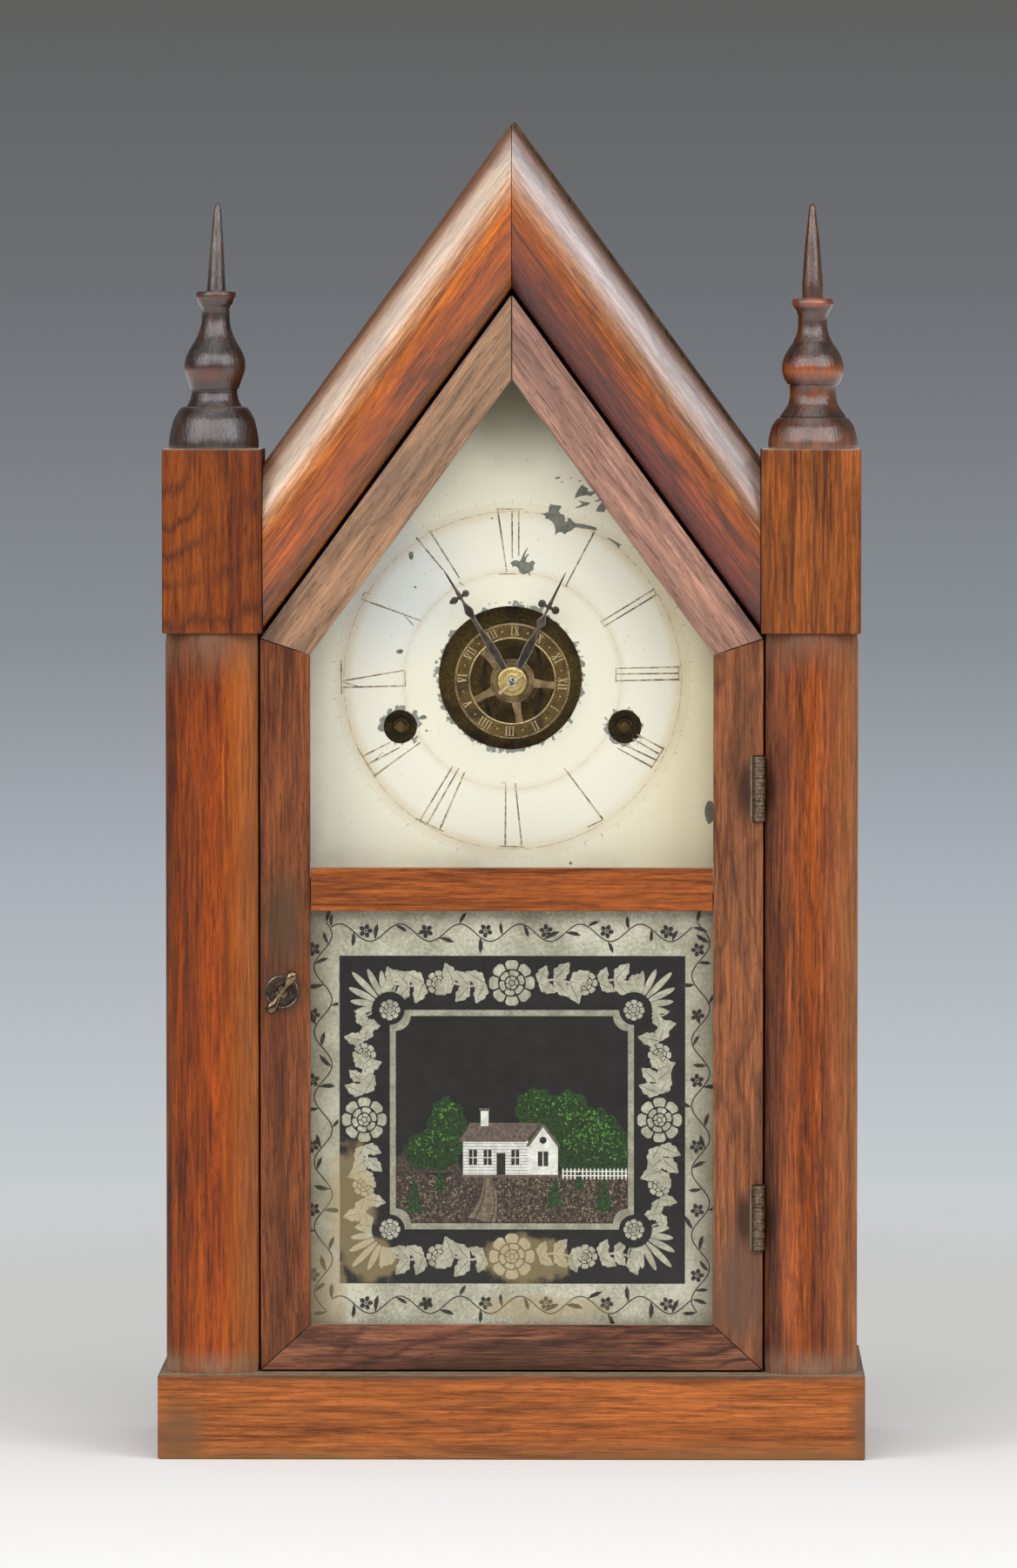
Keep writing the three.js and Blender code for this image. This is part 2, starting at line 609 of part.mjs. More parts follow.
// The front plate holds the suspension cock and the verge's stud, the rear plate the four posts.
function addPlates() {
  const vergeStud = rod(verge.x, verge.z, 0.9, verge.front - 1.4, plates.front + 0.5);
  const cock = box(-3, 3, pendulum.y - 2.2, plates.front + 0.5, pendulum.pivot + 0.2, pendulum.pivot + 6);
  const frontPlate = join(plate(plates.front, plates.top), vergeStud, cock);
  addPart('front_plate', cut(frontPlate, ...pivotHoles(plates.front, winding.arbor + 0.4)), 'brass');
  const columns = posts.map(([x, z]) => rod(x, z, 2.6, plates.front + plates.sheet, side.back, 10));
  const hammerStud = rod(hammer.x, hammer.z, 1.2, plates.rear + 1, hammer.y + 4);
  const rearPlate = join(plate(plates.rear, plates.shoulder + 0.2), ...columns, hammerStud);
  addPart('rear_plate', cut(rearPlate, ...pivotHoles(plates.rear, winding.pivot + 0.4)), 'brass');
}

function addMainWheels() {
  const { arbor: thick, pivot: thin, square: corner, front: tip, shoulder, step } = winding;
  for (const [name, x, radius] of [
    ['time', winding.x, mainWheel.time], ['strike', -winding.x, mainWheel.strike],
  ]) {
    const rim = slab(wheelShape(radius, mainWheel.teeth, 1.8, 5, 7, radius - 6),
      mainWheel.front, mainWheel.front + mainWheel.sheet, 4).translate(x, 0, winding.z);
    const arbor = turned(x, winding.z, [[shoulder, 0], [shoulder, thick], [step, thick], [step, thin],
      [pivotEnd, thin], [pivotEnd, 0]], 12);
    const square = turned(x, winding.z, [[tip, 0], [tip, corner], [shoulder + 0.5, corner],
      [shoulder + 0.5, 0]], 4);
    addPart(`${name}_main_wheel`, join(rim, arbor, square), 'brass');
    addPart(`${name}_mainspring`, ring(x, winding.z, mainspring.bore, mainspring.radius, mainspring.front,
      mainspring.front + mainspring.width, 24), 'steel');
  }
}

function addEscapement() {
  const { x, z, radius, teeth, front: face, sheet } = escape;
  addPart('escape_wheel', join(
    slab(wheelShape(radius, teeth, 1.6, 4, 2.6, 7.4), face, face + sheet, 3).translate(x, 0, z),
    rod(x, z, 1, face - 0.6, pivotEnd),
  ), 'brass');
  const strip = new THREE.Shape();
  strip.absarc(x, z, 14.4, Math.PI * 0.2, Math.PI * 0.8, false);
  strip.absarc(x, z, 13, Math.PI * 0.8, Math.PI * 0.2, true);
  const { front: vergeFront, width, loopHeight } = verge;
  const crutchY = vergeFront - 0.9;
  const hub = verge.z;
  addPart('verge', cut(join(
    slab(strip, vergeFront, vergeFront + width),
    box(verge.x - 1.2, verge.x + 1.2, vergeFront, vergeFront + width, z + 13.6, hub - 1.6),
    ring(verge.x, hub, 1.2, 2.6, vergeFront - 1.2, vergeFront + width),
    wire([[verge.x, crutchY, hub - 1.8], [verge.x * 0.5, crutchY, (hub + loopHeight) / 2],
      [0.2, crutchY + 0.2, loopHeight]], 0.5, 6),
    sleeve(0, pendulum.y, 1.9, 2.7, loopHeight - 0.6, loopHeight + 0.6),
  ), rod(verge.x, hub, 1.2, -12, -6)), 'steel');
}

function addPendulum() {
  const { y, pivot, bob, bobRadius, bobThickness, rod: radius, loop } = pendulum;
  const loopShape = new THREE.Shape().absellipse(0, handAxis, loop + 1.4, 22.7, 0, 2 * Math.PI);
  loopShape.holes.push(new THREE.Path().absellipse(0, handAxis, loop, 21.3, 0, 2 * Math.PI, true));
  addPart('pendulum_rod', join(
    box(-0.25, 0.25, y - 1.5, y + 1.5, pivot - 16, pivot - 0.3),
    upright(0, y, radius, handAxis + 22, pivot - 15, 8),
    slab(loopShape, y - radius, y + radius, 12),
    upright(0, y, radius, bob + bobRadius + 0.1, handAxis - 22, 8),
  ), 'steel');
  const half = bobThickness / 2;
  addPart('pendulum_bob', turned(0, bob, [[y - half, 0], [y - half + 0.5, bobRadius * 0.45],
    [y - half + 2, bobRadius * 0.8], [y - 0.8, bobRadius], [y + 0.8, bobRadius],
    [y + half - 2, bobRadius * 0.8], [y + half - 0.5, bobRadius * 0.45], [y + half, 0]], 28), 'brass');
}

class GongSpiral extends THREE.Curve {
  getPoint(t, target = new THREE.Vector3()) {
    const angle = t * gong.turns * 2 * Math.PI;
    const radius = gong.first + t * (gong.last - gong.first);
    return target.set(radius * Math.cos(angle), gong.y, gong.z + radius * Math.sin(angle));
  }
}

function addGong() {
  addPart('gong', tube(new GongSpiral(), gong.wire, 6, Math.round(gong.turns * 24)), 'steel');
  addPart('gong_base', turned(0, gong.z, [[gong.y - 4, 0], [gong.y - 4, 3.5], [gong.y - 3, 4.8],
    [gong.y + 4, 4.8], [gong.y + 5, 10], [side.back, 11], [side.back, 0]], 16), 'iron');
  const pitch = (gong.last - gong.first) / gong.turns;
  console.log(`gong: least gap between turns ${(pitch - 2 * gong.wire).toFixed(2)} mm`);
}

function addStrikeHammer() {
  const { x, z, y, wire: radius, head } = hammer;
  const reach = gong.last + gong.wire + 1.6;
  const headFace = -reach;
  addPart('strike_hammer', cut(join(
    ring(x, z, 1.5, 3, y - 1.5, y + 1.5, 14),
    wire([[x, y, z - 2], [x - 4, y, z - 35], [headFace - 5, y, z - 76], [headFace - 5, y, gong.z]],
      radius, 12),
    turned(0, 0, [[headFace - 10, 0], [headFace - 10, head - 1], [headFace - 9, head], [headFace - 1, head],
      [headFace, head - 1], [headFace, 0]], 14).rotateZ(-Math.PI / 2).translate(0, y, gong.z),
  ), rod(x, z, 1.5, y - 3, y + 3, 14)), 'iron');
}

function addAlarmWorks() {
  const { x, z, halfWidth, drum, studX, studZ, y } = alarmWorks;
  const plateFront = side.back - 2;
  addPart('alarm_works', join(
    box(x - halfWidth, x + halfWidth, plateFront, side.back, z - 26, studZ + 6),
    box(studX - 5, x, plateFront, side.back, studZ - 6, studZ + 6),
    rod(x, z, drum, y - 8, plateFront + 1, 28),
    rod(x, z, 2.2, y - 18, y, 12),
    rod(studX, studZ, 1.2, y - 5, plateFront + 1),
  ), 'brass');
  const headFace = gong.last + gong.wire + 1.6;
  addPart('alarm_hammer', cut(join(
    ring(studX, studZ, 1.5, 3, y - 2.5, y + 0.5, 14),
    wire([[studX + 1, y - 1, studZ - 2], [studX + 6, y - 1, studZ - 17],
      [headFace + 6, y - 1, gong.z]], hammer.wire, 8),
    turned(0, 0, [[headFace, 0], [headFace, 3], [headFace + 1, 4], [headFace + 8, 4], [headFace + 9, 3],
      [headFace + 9, 0]], 14).rotateZ(-Math.PI / 2).translate(0, y - 1, gong.z),
  ), rod(studX, studZ, 1.5, y - 4, y + 3, 14)), 'iron');
}

addPlinth();
addCaseSides();
addRoof();
addBackBoard();
addFrontStiles();
addPillars();
addCapBlocks();
addFinials();
addGableMouldings();
addDialRails();
addDoorFrame();
addDoorGlass();
for (const [name, height] of Object.entries(hinge.heights)) addHinge(name, height);
addKnob();
addDial();
addAlarmDisc();
addHands();
addCentreArbor();
addPlates();
addMainWheels();
addEscapement();
addPendulum();
addGong();
addStrikeHammer();
addAlarmWorks();

export default clock;
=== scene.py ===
import math
import random

import bmesh
import bpy
from mathutils import Matrix, Vector, noise
from mathutils.geometry import tessellate_polygon


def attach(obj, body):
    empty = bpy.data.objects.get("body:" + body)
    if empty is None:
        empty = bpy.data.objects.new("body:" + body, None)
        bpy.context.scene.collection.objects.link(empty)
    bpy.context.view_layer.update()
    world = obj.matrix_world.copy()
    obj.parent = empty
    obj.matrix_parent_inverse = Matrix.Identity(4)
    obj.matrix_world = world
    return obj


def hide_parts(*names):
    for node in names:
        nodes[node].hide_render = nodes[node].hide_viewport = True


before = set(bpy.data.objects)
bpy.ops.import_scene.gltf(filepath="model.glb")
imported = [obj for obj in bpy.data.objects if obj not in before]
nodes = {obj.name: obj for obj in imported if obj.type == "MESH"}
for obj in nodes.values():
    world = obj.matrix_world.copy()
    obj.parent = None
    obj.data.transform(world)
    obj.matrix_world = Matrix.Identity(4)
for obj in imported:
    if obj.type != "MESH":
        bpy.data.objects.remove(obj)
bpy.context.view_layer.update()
mm = 0.001
pitch = 53.8  # of both roof slopes, in degrees
slope = math.tan(math.radians(pitch))
handAxis = 285.1  # height of the centre arbor
print("frame loaded,", len(nodes), "nodes")


# Node wiring for materials

def tone(code):
    values = [int(code[i:i + 2], 16) / 255 for i in (1, 3, 5)]
    return [v / 12.92 if v <= 0.04045 else ((v + 0.055) / 1.055) ** 2.4 for v in values] + [1.0]


# an output of a node, so that values can be written as sums and products
class Wire:
    def __init__(self, finish, socket):
        self.finish, self.socket = finish, socket

    def __add__(self, other):
        return self.finish.calc("ADD", self, other)

    def __sub__(self, other):
        return self.finish.calc("SUBTRACT", self, other)

    def __mul__(self, other):
        return self.finish.calc("MULTIPLY", self, other)

    def __abs__(self):
        return self.finish.calc("ABSOLUTE", self)


class Finish:
    def __init__(self, owner):
        self.owner = owner
        owner.use_nodes = True
        self.tree = owner.node_tree
        self.tree.nodes.clear()
        self.coords = self.add("TexCoord", output="Object")

    def add(self, kind, inputs=None, output=0, **settings):
        node = self.tree.nodes.new("ShaderNode" + kind)
        for key, value in settings.items():
            setattr(node, key, value)
        for key, value in (inputs or {}).items():
            if isinstance(value, Wire):
                self.tree.links.new(value.socket, node.inputs[key])
            else:
                node.inputs[key].default_value = tone(value) if isinstance(value, str) else value
        return Wire(self, node.outputs[output])

    # coordinates counted in lengths (mm) along axes turned from the object's own
    def place(self, size, turn=(0, 0, 0), shift=(0, 0, 0), source=None):
        return self.add("Mapping", {
            "Vector": source or self.coords, "Location": [s * mm for s in shift],
            "Rotation": [math.radians(a) for a in turn], "Scale": [s * mm for s in size],
        }, vector_type="TEXTURE")

    def noise(self, vector, detail=3.0, rough=0.5, distortion=0.0):
        return self.add("TexNoise", {
            "Vector": vector, "Scale": 1.0, "Detail": detail, "Roughness": rough, "Distortion": distortion},
                        "Fac")

    def calc(self, operation, a, b=0.0):
        return self.add("Math", {0: a, 1: b}, operation=operation)

    # takes a value from one range to another, with no corners unless the form is LINEAR
    def level(self, value, low, high, start=0.0, end=1.0, form="SMOOTHSTEP"):
        return self.add("MapRange", {
            "Value": value, "From Min": low, "From Max": high, "To Min": start, "To Max": end},
                        interpolation_type=form)

    def blend(self, factor, a, b, mode="MIX"):
        return self.add("Mix", {0: factor, 6: a, 7: b}, 2, data_type="RGBA", blend_type=mode)

    def ramp(self, factor, *stops):
        wire = self.add("ValToRGB", {0: factor})
        points = wire.socket.node.color_ramp.elements
        while len(points) < len(stops):
            points.new(0.5)
        for point, (position, colour) in zip(points, stops):
            point.position = position
            point.color = tone(colour) if isinstance(colour, str) else colour
        return wire

    def attribute(self, name):
        return self.add("Attribute", output="Fac", attribute_name=name)

    def part(self, vector, axis):
        return self.add("SeparateXYZ", {0: vector}, axis)

    def length(self, vector):
        return self.add("VectorMath", {0: vector}, "Value", operation="LENGTH")

    # 1 in the middle of a ball (mm), 0 outside it
    def spot(self, centre, size):
        return self.add("TexGradient", {0: self.place(size, shift=centre)}, 1, gradient_type="SPHERICAL")

    # how far a face looks along an axis
    def facing(self, axis):
        return self.part(self.add("NewGeometry", output="True Normal"), axis)

    def bump(self, height, depth):
        return self.add("Bump", {"Height": height, "Distance": depth * mm, "Strength": 1.0})

    def surface(self, **inputs):
        return self.close(self.add("BsdfPrincipled", {key.replace("_", " "): inputs[key] for key in inputs}))

    def close(self, shader, kind="Material"):
        self.tree.links.new(shader.socket, self.tree.nodes.new("ShaderNodeOutput" + kind).inputs[0])
        return self.owner


def newFinish(name):
    return Finish(bpy.data.materials.new(name))


# Wood: fibres, streaks and pores along the grain, dark figure, cool patches, grime, worn arrises and dust,
# with painted light and shade across half round stock, on faces that look up and in bands on the spires

woodLook = {
    "streak": (6.5, 6.5, 130), "fibre": (1.0, 1.0, 20), "thread": (0.42, 0.42, 8), "pore": (0.34, 0.34, 4.5),
    "figureWidth": 11, "figureWarp": 1.5, "figureTone": "#3a2018", "cool": "#6b4234", "coolAmount": 0.45,
    "warm": 0.25, "contrast": 1.0, "rough": 0.46, "coat": 0.3, "coatRough": 0.22, "coatIndex": 1.5,
    "shine": 0.2, "dust": "#9d8f78", "worn": "#b38358", "veil": 0.016, "vein": (1.5, 1.5, 30),
    "veinAmount": 0.45, "edge": None, "haze": None, "figureSpread": (0.38, 0.58), "coatRelief": 0.05,
}


# a tone made darker or lighter, less the veil that the polish will add to it
def shade(code, veil, amount=1.0, warmth=0.0):
    lift = amount ** 2.2
    values = [v * lift * w for v, w in zip(tone(code), (1 + warmth, 1, 1 - warmth))]
    return [max(v - veil, 0.0015) for v in values] + [1.0]


def woodFinish(name, mean, turn=0, seed=1, figure=0.4, figureTurn=None, arch=None, across=None, feet=(),
               smears=(), **changes):
    look = {**woodLook, **changes}
    f, veil, spread, width = newFinish(name), look["veil"], look["contrast"], look["figureWidth"]
    shift = (seed * 37.0, seed * 11.0, seed * 53.0)
    grain = (0, turn, 0)
    streaks = f.noise(f.place(look["streak"], grain, shift), 4, 0.6, 0.4)
    fibre = f.noise(f.place(look["fibre"], grain, shift), 3, 0.6, 0.2)
    thread = f.noise(f.place(look["thread"], grain, shift), 2, 0.6)
    pore = f.noise(f.place(look["pore"], grain, shift), 1, 0.5)
    colour = f.ramp(streaks * 0.42 + (fibre * 0.36 + thread * 0.22),
                    (0.39, shade(mean, veil, 1 - 0.36 * spread, -0.03)), (0.5, shade(mean, veil)),
                    (0.61, shade(mean, veil, 1 + 0.26 * spread, 0.05)))
    warm = f.level(f.noise(f.place((11, 11, 70), grain, (shift[2], 5, shift[0])), 3, 0.55), 0.48, 0.72)
    colour = f.blend(warm * look["warm"], colour, shade(mean, veil, 1.32, 0.12))
    cool = f.noise(f.place((7.5, 7.5, 80), grain, (shift[1], 3, shift[0])), 5, 0.62, 0.2)
    cool = f.level(cool * 0.75 + thread * 0.25, 0.44, 0.66)
    colour = f.blend(cool * look["coolAmount"], colour, shade(look["cool"], veil))
    vein = f.level(f.noise(f.place(look["vein"], grain, (shift[2], shift[0], 9)), 3, 0.65, 0.3), 0.53, 0.64)
    colour = f.blend(vein * look["veinAmount"], colour, shade(look["cool"], veil, 0.78))
    # figure: warped bands, broken up by the fibres and thinned to lines that come and go
    lean = (0, turn if figureTurn is None else figureTurn, 0)
    warp = f.noise(f.place((24, 24, 60), lean, shift), 3, 0.55)
    if arch:  # bands round a line that runs front to back
        wave = f.length(f.place((width, 1e5, width), lean, (arch[0], 0, arch[1])))
    else:
        wave = f.part(f.place((width,) * 3, lean, shift), "X")
    wave = f.calc("FRACT", wave + warp * (look["figureWarp"] * 3) + fibre * 0.55)
    line = f.level(abs(wave - 0.5), 0.0, 0.26, 1.0, 0.0)
    line *= f.level(f.noise(f.place((30, 30, 55), grain, shift), 3, 0.5), *look["figureSpread"])
    line *= f.level(thread, 0.3, 0.62, 0.3, 1.0)
    colour = f.blend(line * figure, colour, look["figureTone"])
    darkPore = f.level(pore, 0.6, 0.7, 0.0, 0.5)
    colour = f.blend(darkPore, colour, shade(mean, veil, 0.45))
    # painted light and shade across half round stock: a painted highlight band and shaded edges on the
    # mouldings, a shaded side on the pillars, laid over the grain
    if across:  # half round stock changes tone from one edge (-1) to the other (1)
        side = f.level(f.attribute("across") + (fibre - 0.5) * 0.35, -1.0, 1.0, form="LINEAR")
        paintedLightTones = f.ramp(side, *[((at + 1) / 2, shade(code, veil)) for at, code in across])
        even = [1 / v for v in shade(mean, veil)[:3]] + [1.0]
        own = f.blend(1.0, colour, even, "MULTIPLY")
        own = f.blend(0.3, f.add("RGBToBW", {0: own}), own)
        # the grain shows less where the painted light lies
        own = f.blend(f.level(f.attribute("across"), 0.15, 0.5, 0.0, 0.4), own, "#ffffff")
        colour = f.blend(1.0, own, paintedLightTones, "MULTIPLY")
    for height, reach, overlay in feet:  # bands of another tone near where stock meets its neighbour: grime on the pillars, darker bands on the plinth, painted highlight and painted shade bands on the spires
        near = f.level(abs(f.part(f.coords, "Z") - height * mm), 0.0, reach * mm, 1.0, 0.0)
        colour = f.blend(near * f.level(fibre + cool, 0.2, 1.1, 0.35, 1.0), colour, shade(overlay, veil))
    # patches of another tone at given places; those beside the hinges are grime with a painted shadow of the
    # hinge barrels
    for centre, size, overlay in smears:
        patch = f.spot(centre, size) + (streaks - 0.5) * 0.6
        colour = f.blend(f.level(patch, 0.1, 0.8, 0.0, 0.85), colour, shade(overlay, veil))
    if look["haze"]:  # grey bloom on old polish
        bloom = f.level(f.noise(f.place((5, 5, 12), shift=shift), 4, 0.6), 0.42, 0.66, 0.0, 0.6)
        colour = f.blend(bloom, colour, shade(look["haze"], veil))
    if look["edge"]:  # sides that don't face the front or the back
        colour = f.blend(f.level(abs(f.facing("Y")), 0.3, 0.8, 0.85, 0.0), colour, look["edge"])
    rub = f.level(f.noise(f.place((4, 4, 9), grain), 4, 0.65), 0.4, 0.58, 0.15, 0.9)
    colour = f.blend(f.attribute("wear") * rub, colour, look["worn"])
    # dust on faces that look up; the near white tone on the cap blocks and the grey on the spires are also
    # painted top light
    dust = f.level(f.noise(f.place((6, 6, 6)), 4, 0.6), 0.3, 0.6, 0.5, 0.85)
    colour = f.blend(f.level(f.facing("Z"), 0.9, 1.0) * dust, colour, look["dust"])
    rough = f.level(fibre, 0.3, 0.7, look["rough"] - 0.07, look["rough"] + 0.1) + darkPore * 0.3
    return f.surface(Base_Color=colour, Roughness=rough, Normal=f.bump(pore * -0.6 + fibre * 0.5, 0.07),
                     Specular_IOR_Level=look["shine"], Coat_Weight=look["coat"],
                     Coat_Roughness=look["coatRough"], Coat_IOR=look["coatIndex"],
                     Coat_Normal=f.bump(fibre + thread * 0.6, look["coatRelief"]))


slopeTurn = 90 - pitch  # the grain's lean from upright
polish = {"coat": 0.9, "coatIndex": 1.6, "coatRough": 0.22, "shine": 0.25, "veil": 0.02}
spirePolish = {"coat": 1.0, "coatIndex": 1.75, "coatRough": 0.2, "shine": 0.2, "veil": 0.01,
               "streak": (5, 5, 40), "coatRelief": 0.2}
finishes = {
    "pillarLeft": woodFinish(
        "pillar_left_veneer", "#964710", seed=1, figure=0.35, veil=0.019, cool="#6e3a26", coolAmount=0.45,
        # tones across the round: painted shade on the left side and painted light on the right
        across=[(-0.9, "#7a411a"), (-0.6, "#85431a"), (-0.2, "#91491b"), (0.1, "#984912"), (0.45, "#9a5224"),
                (0.9, "#9d603a")],
        feet=[(31, 11, "#98785f"), (305, 24, "#85644f")]),
    "pillarRight": woodFinish(
        "pillar_right_veneer", "#854729", seed=2, figure=0.55, veil=0.019, cool="#63392d", coolAmount=0.5,
        figureWidth=8,
        # tones across the round: painted shade on the left side and painted light on the right
        across=[(-0.9, "#6a4331"), (-0.5, "#884d2f"), (0, "#8c4926"), (0.4, "#8f5233"), (0.9, "#99623c")],
        feet=[(31, 12, "#957560"), (305, 20, "#80604f")],
        # dark patches beside the hinges: grime and a painted shadow of the hinge barrels
        smears=[((95, -40, 246), (3.5, 30, 14), "#3c2a20"), ((95, -40, 88), (3.5, 30, 14), "#3c2a20")]),
    "blockLeft": woodFinish(
        "cap_block_left_veneer", "#763f1c", seed=3, figure=0.85, arch=(-128, 369), figureWidth=13,
        figureWarp=0.85, figureSpread=(0.3, 0.5), figureTone="#40190f", cool="#66331f", coolAmount=0.45,
        # near white worn and dust tones: wear and dust on the top face and its arrises, with a painted
        # highlight from the light above
        warm=0.45, worn="#e0cdb8", dust="#e9e4da", veinAmount=0.3),
    "blockRight": woodFinish(
        "cap_block_right_veneer", "#8a4f28", seed=4, figure=0.9, figureWidth=4.2, figureWarp=0.7,
        figureTone="#42261c",
        # near white worn and dust tones: wear and dust on the top face and its arrises, with a painted
        # highlight from the light above
        cool="#5c3526", coolAmount=0.65, worn="#e0cdb8", dust="#e9e4da", contrast=1.2),
    "mouldingLeft": woodFinish(
        "moulding_left_veneer", "#b1652f", turn=slopeTurn, seed=5, figure=0.5, figureTurn=slopeTurn + 12,
        # tones across the round, inner edge (-1) to outer edge (1): painted shade at both edges and a painted
        # highlight band on the outer half
        across=[(-0.95, "#8f5528"), (-0.7, "#975019"), (-0.3, "#a85516"), (0.05, "#b3621f"),
                (0.28, "#bf8656"), (0.5, "#c6ad92"), (0.7, "#b99d83"), (0.88, "#936e56"), (0.96, "#75513d")],
        cool="#7f4a2e", coolAmount=0.35, **polish),
    "mouldingRight": woodFinish(
        "moulding_right_veneer", "#9c592f", turn=-slopeTurn, seed=6, figure=0.7, figureTurn=-slopeTurn + 4,
        figureWidth=7,
        # tones across the round, inner edge (-1) to outer edge (1): painted shade at both edges and a painted
        # highlight band on the outer half
        across=[(-0.95, "#552b14"), (-0.7, "#6e3513"), (-0.35, "#8d4715"), (0.05, "#9d5518"),
                (0.28, "#aa7146"), (0.5, "#a58d80"), (0.7, "#a69994"), (0.88, "#8b756b"), (0.96, "#6b5348")],
        cool="#5f3a2b", coolAmount=0.5, **polish),
    "plinth": woodFinish(
        "plinth_veneer", "#aa6334", turn=90, seed=7, figure=0.35, figureWidth=7, cool="#7d4b2c",
        coolAmount=0.45, fibre=(0.9, 0.9, 26), worn="#8f6a4b", feet=[(0, 9, "#86603f"), (31, 3.0, "#573f31")],
        smears=[((-122, -52, 10), (16, 30, 20), "#79573c"), ((130, -52, 14), (9, 30, 26), "#77563c")]),
    "stileLeft": woodFinish(
        "stile_left_veneer", "#7e4b30", seed=8, figure=0.4, cool="#5a3a2e", coolAmount=0.55, worn="#8f6a50",
        figureWidth=8,
        warm=0.4, smears=[((-84, -40, 196), (12, 30, 30), "#584636"),
                          ((-84, -40, 171), (13, 30, 13), "#574234")]),
    "stileRight": woodFinish(
        "stile_right_veneer", "#8a583c", seed=9, figure=0.6, figureWidth=8, cool="#614537", coolAmount=0.55,
        worn="#9b7a60", warm=0.4,
        # the lower patch is grime; the two beside the hinges are grime and a painted shadow of the hinge
        # barrels
        smears=[((84, -40, 62), (14, 30, 34), "#6d5244"), ((86, -40, 246), (6, 30, 16), "#3f2f28"),
                ((86, -40, 88), (6, 30, 15), "#3f2f28")]),
    # the rafters' pale greyish tone and pale arrises: their own colour and wear, with a painted sheen
    "rafterLeft": woodFinish(
        "rafter_left_veneer", "#9a7a62", turn=slopeTurn, seed=10, figure=0.35, warm=0.35, cool="#776558",
        coolAmount=0.6,
        worn="#c4b19c", contrast=0.8),
    "rafterRight": woodFinish(
        "rafter_right_veneer", "#a78070", turn=-slopeTurn, seed=11, figure=0.35, warm=0.35, cool="#80655e",
        coolAmount=0.6,
        worn="#cbb2a3", contrast=0.8),
    "railMiddle": woodFinish(
        "rail_middle_veneer", "#9a562c", turn=90, seed=12, figure=0.35, figureWidth=6, cool="#74412a",
        coolAmount=0.4, worn="#a9744d"),
    "railBottom": woodFinish(
        "rail_bottom_veneer", "#845844", turn=90, seed=13, figure=0.85, figureTurn=80, figureWidth=8,
        cool="#493630", coolAmount=0.65, worn="#8b6a55", warm=0.5, contrast=1.3,
        smears=[((0, -40, 30), (110, 30, 9), "#4f3a2e")]),
    "side": woodFinish("case_side_veneer", "#84441f", seed=14, figure=0.55),
    "roofLeft": woodFinish("roof_left_veneer", "#66412e", turn=slopeTurn, seed=15, figure=0.4, cool="#4c3d33",
                           rough=0.55,
                           coat=0.15),
    "roofRight": woodFinish("roof_right_veneer", "#66412e", turn=-slopeTurn, seed=15, figure=0.4,
                            cool="#4c3d33", rough=0.55,
                            coat=0.15),
    "pine": woodFinish("aged_pine", "#9b7850", seed=16, figure=0.45, rough=0.75, coat=0.0, worn="#3a2e22",
                       figureTone="#694628", figureWidth=7, cool="#785b3c", contrast=0.7, edge="#2c241d"),
    "rearPine": woodFinish("rear_board_pine", "#5c4a3a", seed=16, figure=0.4, rough=0.85, coat=0.0,
                           worn="#2f2720", figureTone="#453527", figureWidth=7, cool="#473a2e", contrast=0.7,
                           edge="#231d18"),
    "pineDark": woodFinish("stained_pine", "#66462a", seed=17, figure=0.4, rough=0.7, coat=0.0,
                           worn="#7c6040", cool="#4c3522"),
    "finialLeft": woodFinish(
        "finial_left_wood", "#3d2720", seed=18, figure=0.5, cool="#261915", coolAmount=0.6, dust="#7b7168",
        worn="#7a5640", haze="#4b4541",
        # bands by height: painted highlights on the spike and at the widest of the bulb, painted shade on the
        # tops of the foot and the bulb, and the collar's own reddish tone
        feet=[(447, 22, "#5e5049"), (398, 4.5, "#662f1d"), (427, 2.4, "#5e3224"), (383.5, 3.5, "#1f1613"),
              (407, 5, "#221915")], **spirePolish),
    "finialRight": woodFinish(
        "finial_right_wood", "#63351f", seed=19, figure=0.6, cool="#3a221a", coolAmount=0.7, dust="#8a7a6c",
        worn="#8a6044", haze="#4f403a",
        # bands by height: painted highlights at the widest of the bulb and on the waist, painted shade on the
        # tops of the foot and the bulb, and the own tones of the foot's base and the collar
        feet=[(373, 7, "#8a5a3e"), (399.5, 4.5, "#b45a1c"), (424.5, 2.4, "#a4522a"), (407.5, 5.5, "#2d201c"),
              (383.5, 4, "#2c1f1b"),
              (391, 3.5, "#8c4a24")], **spirePolish),
}
print("wood finishes made")


# Mesh helpers. A part is its points (mm), its faces and, with several materials, the material of each face

def inScene(name, data):
    piece = bpy.data.objects.new(name, data)
    bpy.context.scene.collection.objects.link(piece)
    return piece


def register(name, mesh, material, body="case", node=None, angle=32):
    piece = inScene(name, mesh)
    for one in material if isinstance(material, list) else [material]:
        mesh.materials.append(one)
    if angle:
        mesh.shade_smooth()
        mesh.set_sharp_from_angle(angle=math.radians(angle))
    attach(piece, body)
    if node:
        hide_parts(node)


def meshOf(name, part, across=None):
    mesh = bpy.data.meshes.new(name)
    mesh.from_pydata([Vector(p) * mm for p in part[0]], [], part[1])
    if across:
        mesh.attributes.new("across", "FLOAT", "POINT").data.foreach_set("value", across)
    if len(part) > 2:
        mesh.polygons.foreach_set("material_index", part[2])
    work = bmesh.new()
    work.from_mesh(mesh)
    bmesh.ops.recalc_face_normals(work, faces=work.faces)
    work.to_mesh(mesh)
    work.free()
    return mesh


def addPiece(name, part, material, body="case", node=None, angle=32, across=None):
    register(name, meshOf(name, part, across), material, body, node, angle)


